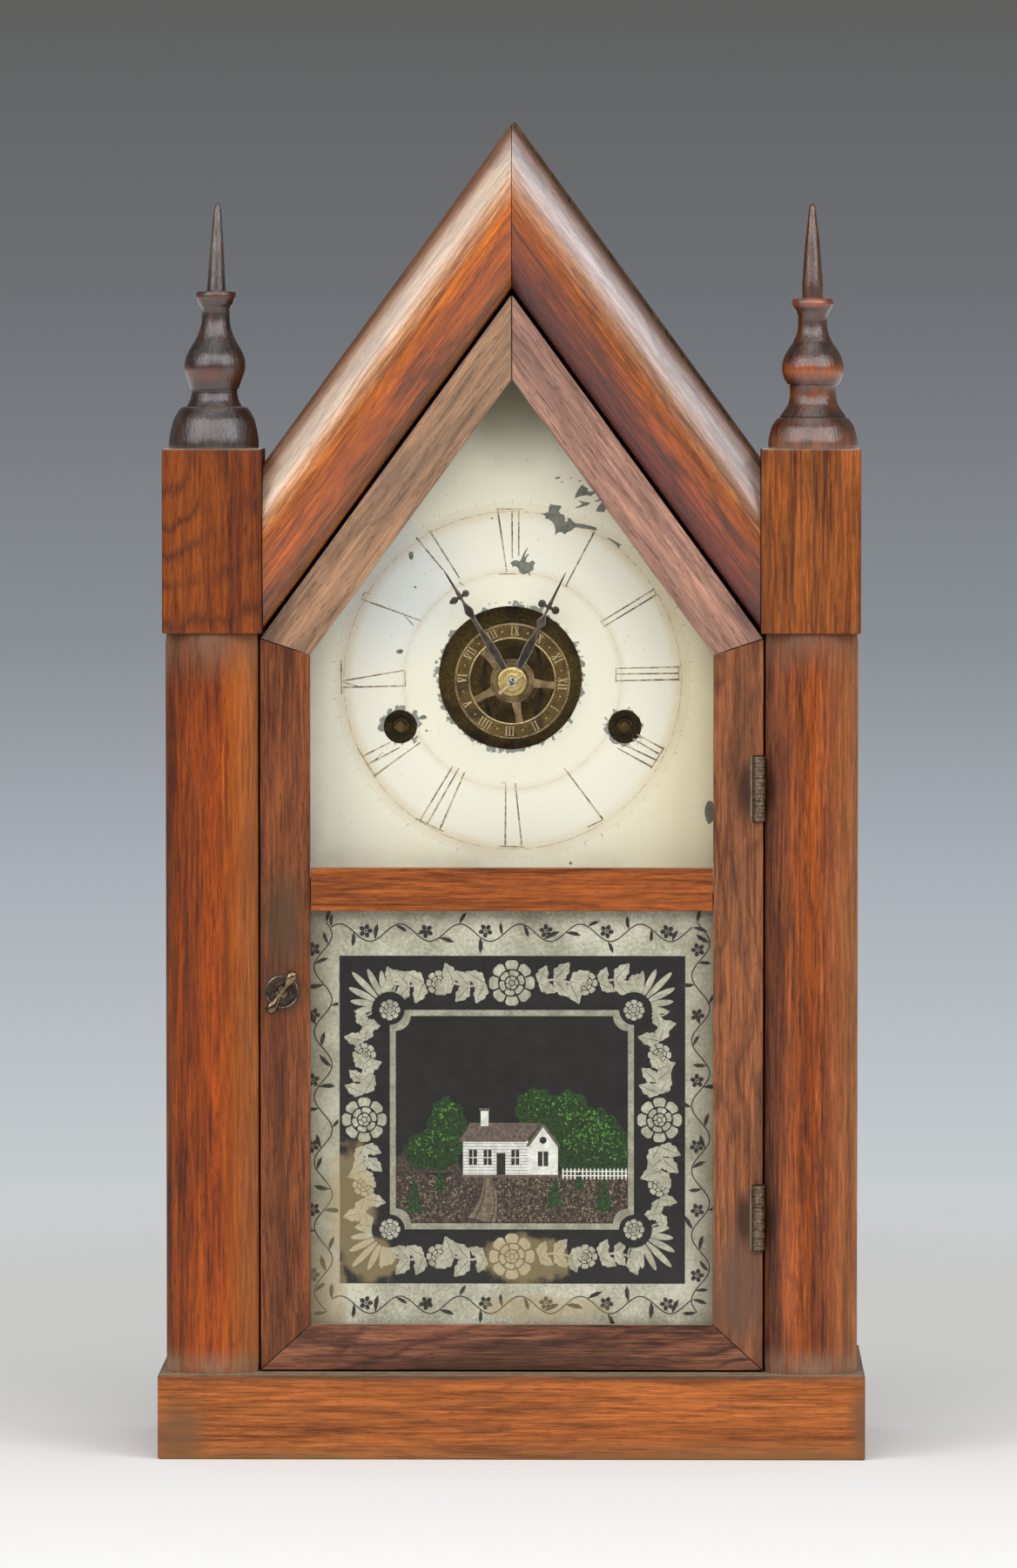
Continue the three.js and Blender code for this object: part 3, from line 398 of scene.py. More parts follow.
# joins rings of equal length into a closed body; a ring of one point is a tip
def loft(rings, caps=True):
    points, faces, starts = [], [], []
    for ring in rings:
        starts.append(len(points))
        points.extend(ring)
    for i in range(len(rings) - 1):
        a, b, na, nb = starts[i], starts[i + 1], len(rings[i]), len(rings[i + 1])
        n = max(na, nb)
        for k in range(n):
            j = (k + 1) % n
            corners = [a + k % na, a + j % na, b + j % nb, b + k % nb]
            faces.append([c for t, c in enumerate(corners) if c not in corners[:t]])
    if caps:
        for start, ring in ((starts[0], rings[0]), (starts[-1], rings[-1])):
            if len(ring) > 2:
                faces.append(list(range(start, start + len(ring))))
    return points, faces


def circle(radius, count, centre=(0, 0)):
    return [(centre[0] + radius * math.cos(2 * math.pi * k / count),
             centre[1] + radius * math.sin(2 * math.pi * k / count)) for k in range(count)]


# a body of revolution from (along, radius) pairs, standing up or with its axis running front to back
def turned(profile, centre, upright=True, segments=64):
    x, y, z = centre
    rings = []
    for along, radius in profile:
        ring = circle(radius, segments) if radius > 0 else [(0.0, 0.0)]
        rings.append([(x + u, y + v, z + along) if upright else (x + u, along, z + v) for u, v in ring])
    return loft(rings)


# a closed ring round a front to back axis, from a closed profile of (y, radius)
def ringBody(profile, centre, segments=64):
    x, z = centre
    points, faces, n = [], [], len(profile)
    for k in range(segments):
        a = 2 * math.pi * k / segments
        points += [(x + r * math.cos(a), y, z + r * math.sin(a)) for y, r in profile]
        for i in range(n):
            j = (i + 1) % n
            faces.append([k * n + i, k * n + j, (k + 1) % segments * n + j, (k + 1) % segments * n + i])
    return points, faces


# a flat plate from outline loops of (x, z), the first one outside and the rest holes
def plate(loops, y0, y1):
    flat = [point for loop in loops for point in loop]
    count = len(flat)
    triangles = tessellate_polygon([[Vector((x, z, 0)) for x, z in loop] for loop in loops])
    points = [(x, y0, z) for x, z in flat] + [(x, y1, z) for x, z in flat]
    faces = [list(t) for t in triangles] + [[i + count for i in reversed(t)] for t in triangles]
    start = 0
    for loop in loops:
        size = len(loop)
        for k in range(size):
            a, b = start + k, start + (k + 1) % size
            faces.append([a, b, b + count, a + count])
        start += size
    return points, faces


# several parts as one, each with a third value if it isn't in the first material
def together(parts):
    points, faces, marks = [], [], []
    for part in parts:
        base = len(points)
        points.extend(part[0])
        faces.extend([i + base for i in face] for face in part[1])
        marks.extend([part[2] if len(part) > 2 else 0] * len(part[1]))
    return points, faces, marks


# a smooth line through points, closed or open
def curved(points, steps=6, closed=False):
    count = len(points)
    out = []
    for i in range(count if closed else count - 1):
        if closed:
            p = [points[(i + k) % count] for k in (-1, 0, 1, 2)]
        else:
            p = [points[min(max(i + k, 0), count - 1)] for k in (-1, 0, 1, 2)]
        for s in range(steps):
            t = s / steps
            out.append(tuple(0.5 * (2 * b + (c - a) * t + (2 * a - 5 * b + 4 * c - d) * t * t
                                    + (3 * b - a - 3 * c + d) * t ** 3) for a, b, c, d in zip(*p)))
    if not closed:
        out.append(tuple(points[-1]))
    return out


def bakedMesh(piece, name):
    graph = bpy.context.evaluated_depsgraph_get()
    mesh = bpy.data.meshes.new_from_object(piece.evaluated_get(graph))
    mesh.name = name
    return mesh


wornEdges = {"step": 7.0, "segments": 3, "wander": 0.22, "sharp": 25}  # sharp: the least angle, in degrees


# a copy of a CAD solid with its arrises rounded and a little uneven; the new faces are marked as worn
def wornCopy(node, name, material, body, radius):
    work = bmesh.new()
    work.from_mesh(nodes[node].data)
    bmesh.ops.remove_doubles(work, verts=work.verts, dist=2e-6)
    bmesh.ops.dissolve_limit(work, angle_limit=math.radians(1.0), verts=work.verts, edges=work.edges)
    for edge in list(work.edges):
        parts = int(edge.calc_length() / (wornEdges["step"] * mm))
        vert = edge.verts[0]
        for k in range(parts):
            edge, vert = bmesh.utils.edge_split(edge, vert, 1 / (parts + 1 - k))
            edge = next(e for e in vert.link_edges if e is not edge and e.other_vert(vert) is not None
                        and abs((e.other_vert(vert).co - vert.co).normalized().dot(
                            (vert.co - edge.other_vert(vert).co).normalized())) > 0.999)
    least = math.radians(wornEdges["sharp"])
    sharp = [e for e in work.edges if len(e.link_faces) == 2 and e.calc_face_angle(0) > least]
    made = bmesh.ops.bevel(work, geom=sharp, offset=radius * mm, segments=wornEdges["segments"], profile=0.5,
                           affect="EDGES", clamp_overlap=True)
    worn = set(made["faces"])
    layer = work.faces.layers.float.new("wear")
    for face in work.faces:
        face[layer] = 1.0 if face in worn else 0.0
    for vert in work.verts:
        if any(f in worn for f in vert.link_faces):
            drift = noise.noise(vert.co * 90) * wornEdges["wander"] * radius
            vert.co -= vert.normal * max(drift, 0) * mm
    bmesh.ops.triangulate(work, faces=[f for f in work.faces if len(f.verts) > 4])
    mesh = bpy.data.meshes.new(name)
    work.to_mesh(mesh)
    work.free()
    piece = inScene(name + "_raw", mesh)
    mesh.shade_smooth()
    piece.modifiers.new("even", "WEIGHTED_NORMAL").weight = 80
    done = bakedMesh(piece, name)
    bpy.data.objects.remove(piece)
    done.materials.clear()
    register(name, done, material, body, node, angle=None)


# Case boards and door frame, from the solids

for node, name, finish, body, radius in [
    ("plinth_front", "plinth_front_board", "plinth", "case", 0.8),
    ("plinth_return_left", "plinth_left_return", "side", "case", 0.6),
    ("plinth_return_right", "plinth_right_return", "side", "case", 0.6),
    ("case_floor", "floor_board", "pine", "case", 0.3),
    ("case_side_left", "left_side_board", "side", "case", 0.5),
    ("case_side_right", "right_side_board", "side", "case", 0.5),
    ("roof_board_left", "left_roof_board", "roofLeft", "case", 0.5),
    ("roof_board_right", "right_roof_board", "roofRight", "case", 0.5),
    ("back_board", "rear_board", "rearPine", "case", 0.6),
    ("front_stile_left", "left_front_upright", "pineDark", "case", 0.3),
    ("front_stile_right", "right_front_upright", "pineDark", "case", 0.3),
    ("door_stop_left", "left_door_stop", "pineDark", "case", 0.3),
    ("door_stop_right", "right_door_stop", "pineDark", "case", 0.3),
    ("dial_rail_left", "left_dial_rail", "pine", "case", 0.3),
    ("dial_rail_right", "right_dial_rail", "pine", "case", 0.3),
    ("cap_block_left", "left_cap_block", "blockLeft", "case", 0.7),
    ("cap_block_right", "right_cap_block", "blockRight", "case", 0.7),
    ("door_stile_left", "left_door_stile", "stileLeft", "door", 0.45),
    ("door_stile_right", "right_door_stile", "stileRight", "door", 0.45),
    ("door_rafter_left", "left_door_rafter", "rafterLeft", "door", 0.45),
    ("door_rafter_right", "right_door_rafter", "rafterRight", "door", 0.45),
    ("door_rail_middle", "middle_door_rail", "railMiddle", "door", 0.45),
    ("door_rail_bottom", "bottom_door_rail", "railBottom", "door", 0.45),
]:
    wornCopy(node, name, finishes[finish], body, radius)
print("case boards and door frame made")


# Half round stock: the two pillars and the two gable mouldings

halfRound = {"width": 34.0, "back": -34.0, "edge": -40.0, "crown": -48.0, "steps": 36, "arris": 0.5,
             "wander": 0.12}
pillar = {"inner": 93.2, "low": 31.0, "high": 303.4, "steps": 60}
moulding = {"apex": 490.0, "inner": 429.9, "start": 0.12, "end": 91.2, "steps": 40}


def halfRoundSection():
    half, rise = halfRound["width"] / 2, halfRound["edge"] - halfRound["crown"]
    radius = (half * half + rise * rise) / (2 * rise)
    reach = math.asin(half / radius)
    arris = halfRound["arris"]
    section = [(half, halfRound["back"]), (0, halfRound["back"]), (-half, halfRound["back"]),
               (-half, halfRound["edge"] + arris), (-half + arris * 0.25, halfRound["edge"] + arris * 0.1)]
    for k in range(1, halfRound["steps"]):
        angle = reach * (2 * k / halfRound["steps"] - 1)
        section.append((radius * math.sin(angle), halfRound["crown"] + radius * (1 - math.cos(angle))))
    section += [(half - arris * 0.25, halfRound["edge"] + arris * 0.1), (half, halfRound["edge"] + arris)]
    return section


# depth of a point of the section: the round face is a little uneven and sinks by the inset
def faceDepth(y, inset, place):
    front = y < halfRound["back"] - 2
    return y + (noise.noise(Vector(place) * 0.03) * halfRound["wander"] + inset if front else 0)


def addHalfRound(name, node, rings, section, material):
    across = [2 * u / halfRound["width"] for _ in rings for u, _ in section]
    addPiece(name, loft(rings), material, "case", node, 40, across)


def addPillar(side, hand, material):
    section = halfRoundSection()
    middle = pillar["inner"] + halfRound["width"] / 2
    low, high, count = pillar["low"], pillar["high"], pillar["steps"]
    rings = []
    for k in range(count + 1):
        z = low + (high - low) * k / count
        inset = 0.35 if k in (0, count) else 0.0
        rings.append([(hand * middle + u * (1 - inset / 20), faceDepth(y, inset, (u, hand * 50, z)), z)
                      for u, y in section])
    addHalfRound(f"{side}_pillar", f"pillar_{side}", rings, section, material)


def addMoulding(side, hand, material):
    section = halfRoundSection()
    apex, inner, start, end = moulding["apex"], moulding["inner"], moulding["start"], moulding["end"]
    middle, stretch = (apex + inner) / 2, (apex - inner) / halfRound["width"]
    rings = []
    for k in range(moulding["steps"] + 1):
        x = start + (end - start) * k / moulding["steps"]
        inset = 0.3 if k == 0 else 0.0
        rings.append([(hand * x, faceDepth(y, inset, (x, hand * 70, u)),
                       middle + u * stretch * (1 - inset / 60) - x * slope) for u, y in section])
    addHalfRound(f"{side}_gable_moulding", f"gable_moulding_{side}", rings, section, material)


for side, hand in (("left", -1), ("right", 1)):
    addPillar(side, hand, finishes["pillar" + side.capitalize()])
    addMoulding(side, hand, finishes["moulding" + side.capitalize()])
print("pillars and mouldings made")


# Finials: each run of the profile is smooth, and the runs meet at turned edges

finial = {
    "y": -31.5, "z": 371.0,
    "left": {
        "x": -109.75, "lean": 0.018, "runs": [
            [(0, 16.35), (0.5, 16.6), (3.2, 16.5), (5.8, 16.1), (8.3, 15.55), (10.9, 14.75), (13.4, 13.4),
             (14.6, 12.5),
             (15.0, 12.1)],
            [(15.2, 11.3), (15.5, 10.3)],
            [(15.6, 10.1), (17.3, 9.2), (18.6, 8.75), (20.3, 8.45), (21.6, 8.5)],
            [(21.8, 8.9), (23.2, 9.4), (25, 10.05), (27.5, 10.9), (29.6, 11.25),
             (32.7, 10.95), (35.2, 10.05), (37.8, 8.6), (40.4, 7.1), (42.9, 6.1), (45.5, 5.35), (48.5, 5.15),
             (50.8, 5.25),
             (52.4, 5.9)],
            [(52.8, 6.3), (54.4, 6.95), (55.4, 7.3), (57.0, 7.25), (57.5, 6.9)],
            [(57.6, 6.5), (57.9, 3.8)],
            [(58.2, 3.45), (66, 2.95), (72.4, 2.6), (77.5, 2.15), (82.6, 1.8), (86.5, 1.4), (89, 0.9),
             (90.0, 0.45), (90.3, 0)],
        ],
    },
    "right": {
        "x": 110.6, "lean": -0.004, "runs": [
            [(0, 16.0), (0.5, 16.4), (3.2, 16.35), (5.8, 15.8), (8.3, 15.0), (10.2, 13.8), (11.1, 13.0)],
            [(11.2, 12.4), (11.6, 12.0)],
            [(11.8, 12.2), (13.0, 11.3), (14.7, 10.1), (16.0, 9.3), (17.6, 8.75), (19.9, 8.5), (22.2, 8.55),
             (23.3, 8.8)],
            [(23.5, 9.5), (25.4, 10.6), (27.5, 11.25), (29.4, 11.4), (31.4, 11.2), (33.9, 10.4), (36.5, 8.95),
             (38.4, 7.6), (40.4, 6.6), (42.9, 5.65),
             (45.8, 5.4), (48.0, 5.5), (49.9, 6.1), (51.2, 6.9)],
            [(51.5, 7.2), (53.0, 7.7), (54.3, 7.5), (54.8, 7.1)],
            [(54.9, 6.7), (55.2, 4.2)],
            [(55.5, 3.8), (60, 3.85), (66, 3.4), (71, 3.0), (76, 2.6), (80, 2.15), (84, 1.65), (87.8, 1.3),
             (89.2, 0.85),
             (90.0, 0.45), (90.3, 0)],
        ],
    },
}


def addFinial(side, material):
    shape = finial[side]
    profile = [(0, 0)]
    for run in shape["runs"]:
        profile.extend(curved(run, 3))
    cx, cy, foot = shape["x"], finial["y"], finial["z"]
    points, faces = turned(profile, (cx, cy, foot), True, 72)
    uneven = []
    for x, y, z in points:  # neither spire stands quite true
        out = 1 + 0.004 * noise.noise(Vector((x, y, z)) * 0.08)
        uneven.append((cx + (x - cx) * out + shape["lean"] * (z - foot), cy + (y - cy) * out, z))
    addPiece(f"{side}_finial", (uneven, faces), material, "case", f"finial_{side}", 30)


addFinial("left", finishes["finialLeft"])
addFinial("right", finishes["finialRight"])
print("finials made")


# Metals, dial paint and glass

def metalFinish(name, dark, mid, light, tarnish="#2b2118", amount=0.5, rough=0.38, metallic=1.0, seed=1,
                size=5.0, wornTone=None):
    f = newFinish(name)
    shift = (seed * 29.0, seed * 17.0, seed * 5.0)
    cloud = f.noise(f.place((size,) * 3, (20, 10, 35), shift), 4, 0.6, 0.5)
    fine = f.noise(f.place((0.7,) * 3, shift=shift), 3, 0.6)
    colour = f.ramp(cloud, (0.36, dark), (0.5, mid), (0.66, light))
    spots = f.level(cloud * 0.5 + fine * 0.5, 0.47, 0.62)
    colour = f.blend(spots * amount, colour, tarnish)
    if wornTone:
        colour = f.blend(f.attribute("wear") * 0.8, colour, wornTone)
    roughness = f.level(spots, 0, 1, rough - 0.06, rough + 0.22) + f.level(fine, 0.3, 0.7, 0.0, 0.08)
    return f.surface(Base_Color=colour, Metallic=metallic, Roughness=roughness,
                     Normal=f.bump(fine + cloud * 1.5, 0.03))


finishes.update({
    "brassPlate": metalFinish("aged_plate_brass", "#4b3a20", "#6f5831", "#8e7442", amount=0.55, size=9),
    "brassDisc": metalFinish("disc_rim_brass", "#9c845a", "#b89f72", "#d0ba8c", amount=0.35, seed=2,
                             rough=0.3),
    "brassBand": metalFinish("disc_ground_brass", "#3f3114", "#604c1e", "#80692f", tarnish="#2c2312",
                             amount=0.5, seed=3,
                             rough=0.5, size=7, metallic=0.6),
    "brassNumber": metalFinish("disc_number_brass", "#ab9468", "#c6b186", "#dcc9a0", amount=0.12, seed=4,
                               rough=0.4, metallic=0.6),
    "brassBright": metalFinish("collet_brass", "#b59d60", "#c8b071", "#d8c288", amount=0.08, seed=5,
                               rough=0.3, size=6,
                               metallic=0.85),
    "brassSpoke": metalFinish("spoke_brass", "#6f5a3c", "#927a55", "#b39b72", amount=0.25, seed=6,
                              rough=0.42, size=5, metallic=0.75),
    "plateShade": metalFinish("shaded_plate_brass", "#4c3b1a", "#6e5827", "#8f7537", tarnish="#2b2011",
                              amount=0.5, seed=15,
                              rough=0.5, size=8, metallic=0.8),
    "handSteel": metalFinish("hand_steel", "#332b25", "#483f37", "#6a6058", tarnish="#4a3326", amount=0.4,
                             seed=7, rough=0.36, size=4, metallic=0.75),
    "steel": metalFinish("spring_steel", "#2e3034", "#4a4c50", "#6d6f72", tarnish="#3a2a20", amount=0.4,
                         seed=8),
    # near white and barely metallic: the polished square end of the arbor with its highlight painted in
    "arborSteelGlint": metalFinish("arbor_end_steel_painted_glint", "#d6d4d0", "#e8e6e2", "#f6f4f0", amount=0.05, seed=9,
                              rough=0.34, size=5,
                              metallic=0.15),
    # a lighter steel for the filed edges of the hands: bright filed steel with a painted highlight along it
    "handEdgeGlint": metalFinish("hand_edge_steel_painted_glint", "#6f6963", "#8f8983", "#aca69f", amount=0.2, seed=18,
                            rough=0.35, size=5,
                            metallic=0.6),
    "iron": metalFinish("rusted_iron", "#2a221c", "#40342a", "#5a4a3c", tarnish="#4c2e1b", amount=0.5,
                        seed=10, rough=0.55, metallic=0.8),
    "hinge": metalFinish("hinge_iron", "#4b3d2f", "#6d5b48", "#938271", tarnish="#33261c", amount=0.45,
                         seed=11, rough=0.45, metallic=0.6, size=1.6, wornTone="#a08e78"),
    "rose": metalFinish("rose_brass", "#3d342e", "#54483f", "#6c5d51", tarnish="#2b2322", amount=0.5, seed=12,
                        rough=0.3, size=3),
    "rimBright": metalFinish("rose_rim_brass", "#5e5349", "#7d7167", "#a39789", amount=0.4, seed=16,
                             rough=0.3, size=3),
    "knob": metalFinish("turn_button_brass", "#4d4035", "#756450", "#a89574", tarnish="#2f2624", amount=0.4,
                        seed=13, rough=0.09, size=3),
    # a lighter iron for the leaf edge strips: a painted highlight along each leaf's edge
    "hingeEdgeGlint": metalFinish("hinge_edge_iron_painted_glint", "#6d5f49", "#8d7e64", "#aa9c82", amount=0.3, seed=17,
                             rough=0.4, metallic=0.6),
})


def clearPane():
    f = newFinish("old_window_glass")
    wave = f.noise(f.place((30, 30, 55)), 2, 0.5)
    speck = f.level(f.noise(f.place((1.2,) * 3), 2, 0.5), 0.7, 0.78, 0.0, 0.06)
    shine = f.add("BsdfGlossy", {"Color": "#ffffff", "Roughness": 0.03, "Normal": f.bump(wave, 0.25)})
    clear = f.add("BsdfTransparent", {"Color": "#ffffff"})
    outward = f.calc("SUBTRACT", 1.0, f.add("NewGeometry", output="Backfacing"))
    pane = f.add("MixShader", {0: f.add("Fresnel", {"IOR": 1.3}) * outward, 1: clear, 2: shine})
    return f.close(f.add("MixShader", {0: speck, 1: pane, 2: f.add("BsdfDiffuse", {"Color": "#cfc9b6"})}))


dialWear = {
    "hole": (-0.8, 286.1, 26.5),  # x, z and radius
    "stains": [(62.4, 4.5, 0.32), (40.2, 2.6, 0.16)],  # radius from the arbor, width and strength
    "lines": [(62.4, 0.3, 0.55), (65.4, 0.22, 0.22), (40.2, 0.25, 0.3)],
    "flakes": [  # outlines of bare metal, x and z
        [(9.9, 347.3), (11.1, 346.8), (13.3, 347.3), (13.4, 349.2), (13.8, 350.2), (15.7, 349.9),
         (17.8, 349.7), (18.0, 349.0), (17.1, 347.8), (17.7, 346.7), (19.1, 346.3), (19.4, 345.1),
         (19.3, 344.0), (19.9, 343.6), (20.5, 344.3), (20.2, 345.1), (21.3, 345.1), (22.3, 343.9),
         (23.3, 343.2), (26.2, 342.9), (29.4, 342.1), (30.8, 341.7), (31.2, 340.8), (30.6, 340.4),
         (29.0, 340.9), (26.2, 341.2), (23.8, 341.7), (22.9, 341.5), (21.7, 340.5), (19.9, 339.7),
         (19.3, 339.0), (18.3, 339.9), (16.9, 339.9), (15.7, 338.7), (15.8, 340.7), (15.3, 342.9),
         (14.2, 344.1), (13.1, 344.8), (11.9, 344.9), (12.3, 345.7), (11.3, 346.4)],
        [(34.6, 337.9), (35.8, 337.7), (37.8, 336.7), (39.4, 335.7), (40.6, 335.2), (39.6, 335.1),
         (39.4, 333.7), (38.7, 334.7), (37.4, 335.9), (35.8, 337.0)],
        [(23.0, 352.4), (23.3, 354.0), (24.6, 356.2), (25.8, 357.6), (26.4, 356.8), (27.8, 356.1),
         (27.8, 355.0), (29.4, 354.8), (30.0, 355.6), (31.4, 354.2), (29.8, 354.0), (28.7, 353.1),
         (27.8, 353.6), (26.4, 353.4), (25.0, 353.2)],
        [(22.9, 349.0), (25.0, 349.8), (25.6, 350.6), (24.2, 351.7), (26.2, 351.2), (28.9, 350.8),
         (27.8, 349.9), (25.4, 349.2), (23.8, 348.8)],
        [(30.8, 347.5), (31.4, 349.2), (32.8, 350.8), (34.4, 350.0), (34.5, 348.6), (33.8, 347.3)],
        [(30.0, 351.2), (31.8, 352.0), (32.6, 352.4), (32.7, 351.6), (31.4, 351.2)],
        [(15.7, 359.8), (16.1, 360.3), (17.1, 360.3), (17.8, 360.7), (17.3, 359.7), (16.3, 359.5)],
        [(17.4, 358.4), (19.1, 358.9), (18.1, 358.2)], [(20.9, 359.7), (22.3, 360.2), (21.7, 359.6)],
        [(24.2, 358.4), (24.6, 359.0), (26.0, 359.3), (24.8, 358.6)],
        [(-0.9, 328.4), (0.4, 329.5), (1.6, 329.6), (2.7, 329.1), (3.2, 330.1), (4.0, 331.9), (5.4, 334.1),
         (5.6, 333.9),
         (4.5, 331.4), (4.6, 330.6), (5.7, 332.0), (6.1, 331.7), (5.1, 330.3), (4.9, 329.0), (6.2, 328.7),
         (7.2, 329.5),
         (8.2, 329.0), (8.3, 328.3), (7.7, 327.4), (7.9, 326.1), (6.2, 325.1), (6.7, 324.0), (6.2, 323.8),
         (5.7, 324.8),
         (3.8, 324.2), (2.5, 325.1), (2.0, 326.7), (1.1, 327.4), (-0.1, 327.0), (-0.1, 327.7)],
    ],
    "specks": [  # small round losses: x, z, half sizes
        (-37.5, 331.2, 0.9, 1.5), (-41.7, 295.8, 1.3, 0.9), (73.0, 236.6, 2.1, 4.2),
               (-36.0, 319.6, 0.5, 0.45),
        (-33.0, 271.5, 1.3, 0.8), (-31.8, 266.5, 0.5, 0.4), (21.5, 217.5, 0.5, 0.6), (-7.6, 345.0, 0.4, 0.35),
    ],
    "edges": [(-0.8, 286.1, 26.5, 2.1), (-41.5, 268, 6.2, 2.6), (41.5, 268, 6.2, 1.9)],  # x, z, radius, loss
}


def dialPaint():
    f = newFinish("dial_paint")
    x, z = f.part(f.coords, "X"), f.part(f.coords, "Z")
    flat = f.add("CombineXYZ", {0: x, 2: z})
    mottle = f.noise(f.place((26,) * 3, shift=(5, 0, 9)), 4, 0.55)
    fine = f.noise(f.place((2.2,) * 3), 3, 0.6)
    ragged = f.noise(f.place((3.2,) * 3, shift=(3, 0, 1)), 4, 0.65)
    distance = f.length(f.place((1, 1, 1), shift=(0, 0, handAxis), source=flat))

    def line(radius, width):
        return f.level(abs(distance - radius), 0.0, width, 1.0, 0.0)

    colour = f.blend(mottle, "#efecd2", "#f6f3dd")
    colour = f.blend(f.level(x, 0.02, 0.085), colour, "#f2e8bf")
    colour = f.blend(f.level(x, -0.085, -0.03, 1.0, 0.0) * 0.6, colour, "#e6e6d6")
    colour = f.blend(f.level(distance, 55, 65, 1.0, 0.0) * 0.75, colour, "#ebe8d4")
    numbers = f.level(distance, 40, 46) * f.level(distance, 56, 62, 1.0, 0.0)
    colour = f.blend(numbers * 0.4, colour, "#f2f1e7")
    colour = f.blend(f.level(f.spot((-44, -17, 320), (32, 60, 36)), 0.0, 0.7) * 0.85, colour, "#dfe4e0")
    for radius, width, depth in dialWear["stains"]:
        colour = f.blend(line(radius, width) * (f.level(mottle, 0.3, 0.7, 0.4, 1.2) * depth), colour,
                         "#c49a63")
    for radius, width, depth in dialWear["lines"]:
        colour = f.blend(line(radius, width) * (f.level(fine, 0.35, 0.6) * depth), colour, "#8c6a45")
    specks = f.level(f.noise(f.place((1.0,) * 3, shift=(7, 0, 2)), 2, 0.5), 0.68, 0.74)
    colour = f.blend(specks * f.level(mottle, 0.45, 0.6, 0.1, 0.7), colour, "#a98a5f")
    # darker towards the sides and the foot of the dial
    sides, foot = f.level(abs(x), 0.066, 0.080), f.level(z, 0.2165, 0.226, 1.0, 0.0)
    overlay = f.calc("MAXIMUM", sides, foot) * f.level(mottle, 0.3, 0.7, 0.1, 0.5)
    colour = f.blend(overlay, colour, "#b3a581")
    # painted shade at the top of the dial, under the apex of the door's rafters
    paintedApexShade = f.spot((0, -17, 400), (42, 60, 46)) + (mottle - 0.5) * 0.4
    colour = f.blend(f.level(paintedApexShade, 0.05, 0.75, 0.0, 0.9), colour, "#969073")
    chips = None
    for cx, cz, radius, reach in dialWear["edges"]:
        away = f.length(f.place((1, 1, 1), shift=(cx, 0, cz), source=flat)) - radius
        rim = f.level(away - f.level(ragged, 0.42, 0.66, -0.4, reach), -0.1, 0.1, 1.0, 0.0)
        chips = f.calc("MAXIMUM", chips, rim) if chips else rim
    colour = f.blend(chips, colour, f.blend(fine, "#787a6e", "#9b9d92"))
    rough = f.level(fine, 0.3, 0.7, 0.36, 0.5) + chips * 0.25
    return f.surface(Base_Color=colour, Roughness=rough, Specular_IOR_Level=0.35,
                     Normal=f.bump(chips * -1.0 + fine * 0.12, 0.12))


def inkFinish(name, ink, ground, wear=(0.4, 0.6)):
    f = newFinish(name)
    fine = f.noise(f.place((1.6,) * 3, shift=(2, 3, 4)), 3, 0.65)
    worn = f.level(fine * 0.6 + f.noise(f.place((9,) * 3), 2, 0.5) * 0.4, *wear)
    return f.surface(Base_Color=f.blend(worn, ink, ground), Roughness=0.5, Specular_IOR_Level=0.3)


finishes["glass"] = clearPane()
finishes["dial"] = dialPaint()
finishes["ink"] = inkFinish("dial_ink", "#5c4934", "#c9bb97")
finishes["flake"] = inkFinish("bare_dial_metal", "#666759", "#7f8073")
finishes["track"] = inkFinish("minute_track_ink", "#a8906a", "#d9d4bd", (0.36, 0.52))
print("metal, paint and glass finishes made")


# Geometry node trees

class Growth:
    def __init__(self, name, **inputs):
        self.tree = bpy.data.node_groups.new(name, "GeometryNodeTree")
        self.keys = {}
        self.tree.interface.new_socket("Geometry", in_out="INPUT", socket_type="NodeSocketGeometry")
        for label, value in inputs.items():
            kind = {int: "Int", float: "Float", str: value}[type(value)]
            socket = self.tree.interface.new_socket(label, in_out="INPUT", socket_type="NodeSocket" + kind)
            if not isinstance(value, str):
                socket.default_value = value
            self.keys[label] = socket.identifier
        self.tree.interface.new_socket("Geometry", in_out="OUTPUT", socket_type="NodeSocketGeometry")
        self.given = self.tree.nodes.new("NodeGroupInput").outputs
        self.start = self.given["Geometry"]

    def add(self, kind, inputs=None, **settings):
        node = self.tree.nodes.new(kind)
        for key, value in settings.items():
            setattr(node, key, value)
        for key, value in (inputs or {}).items():
            if isinstance(value, bpy.types.NodeSocket):
                self.tree.links.new(value, node.inputs[key])
            else:
                node.inputs[key].default_value = value
        return node.outputs

    def calc(self, operation, a, b=0.0):
        return self.add("ShaderNodeMath", {0: a, 1: b}, operation=operation)[0]

    def close(self, geometry):
        real = self.add("GeometryNodeRealizeInstances", {"Geometry": geometry})[0]
        done = self.add("GeometryNodeSetMaterial", {"Geometry": real, "Material": self.given["Material"]})[0]
        self.tree.links.new(done, self.tree.nodes.new("NodeGroupOutput").inputs[0])

    # runs the tree on a mesh and returns the result as a plain mesh
    def grow(self, name, mesh, **values):
        piece = inScene(name + "_raw", mesh)
        modifier = piece.modifiers.new("growth", "NODES")
        modifier.node_group = self.tree
        for label, value in values.items():
            modifier[self.keys[label]] = value
        done = bakedMesh(piece, name)
        piece.modifiers.remove(modifier)
        bpy.data.objects.remove(piece)
        return done


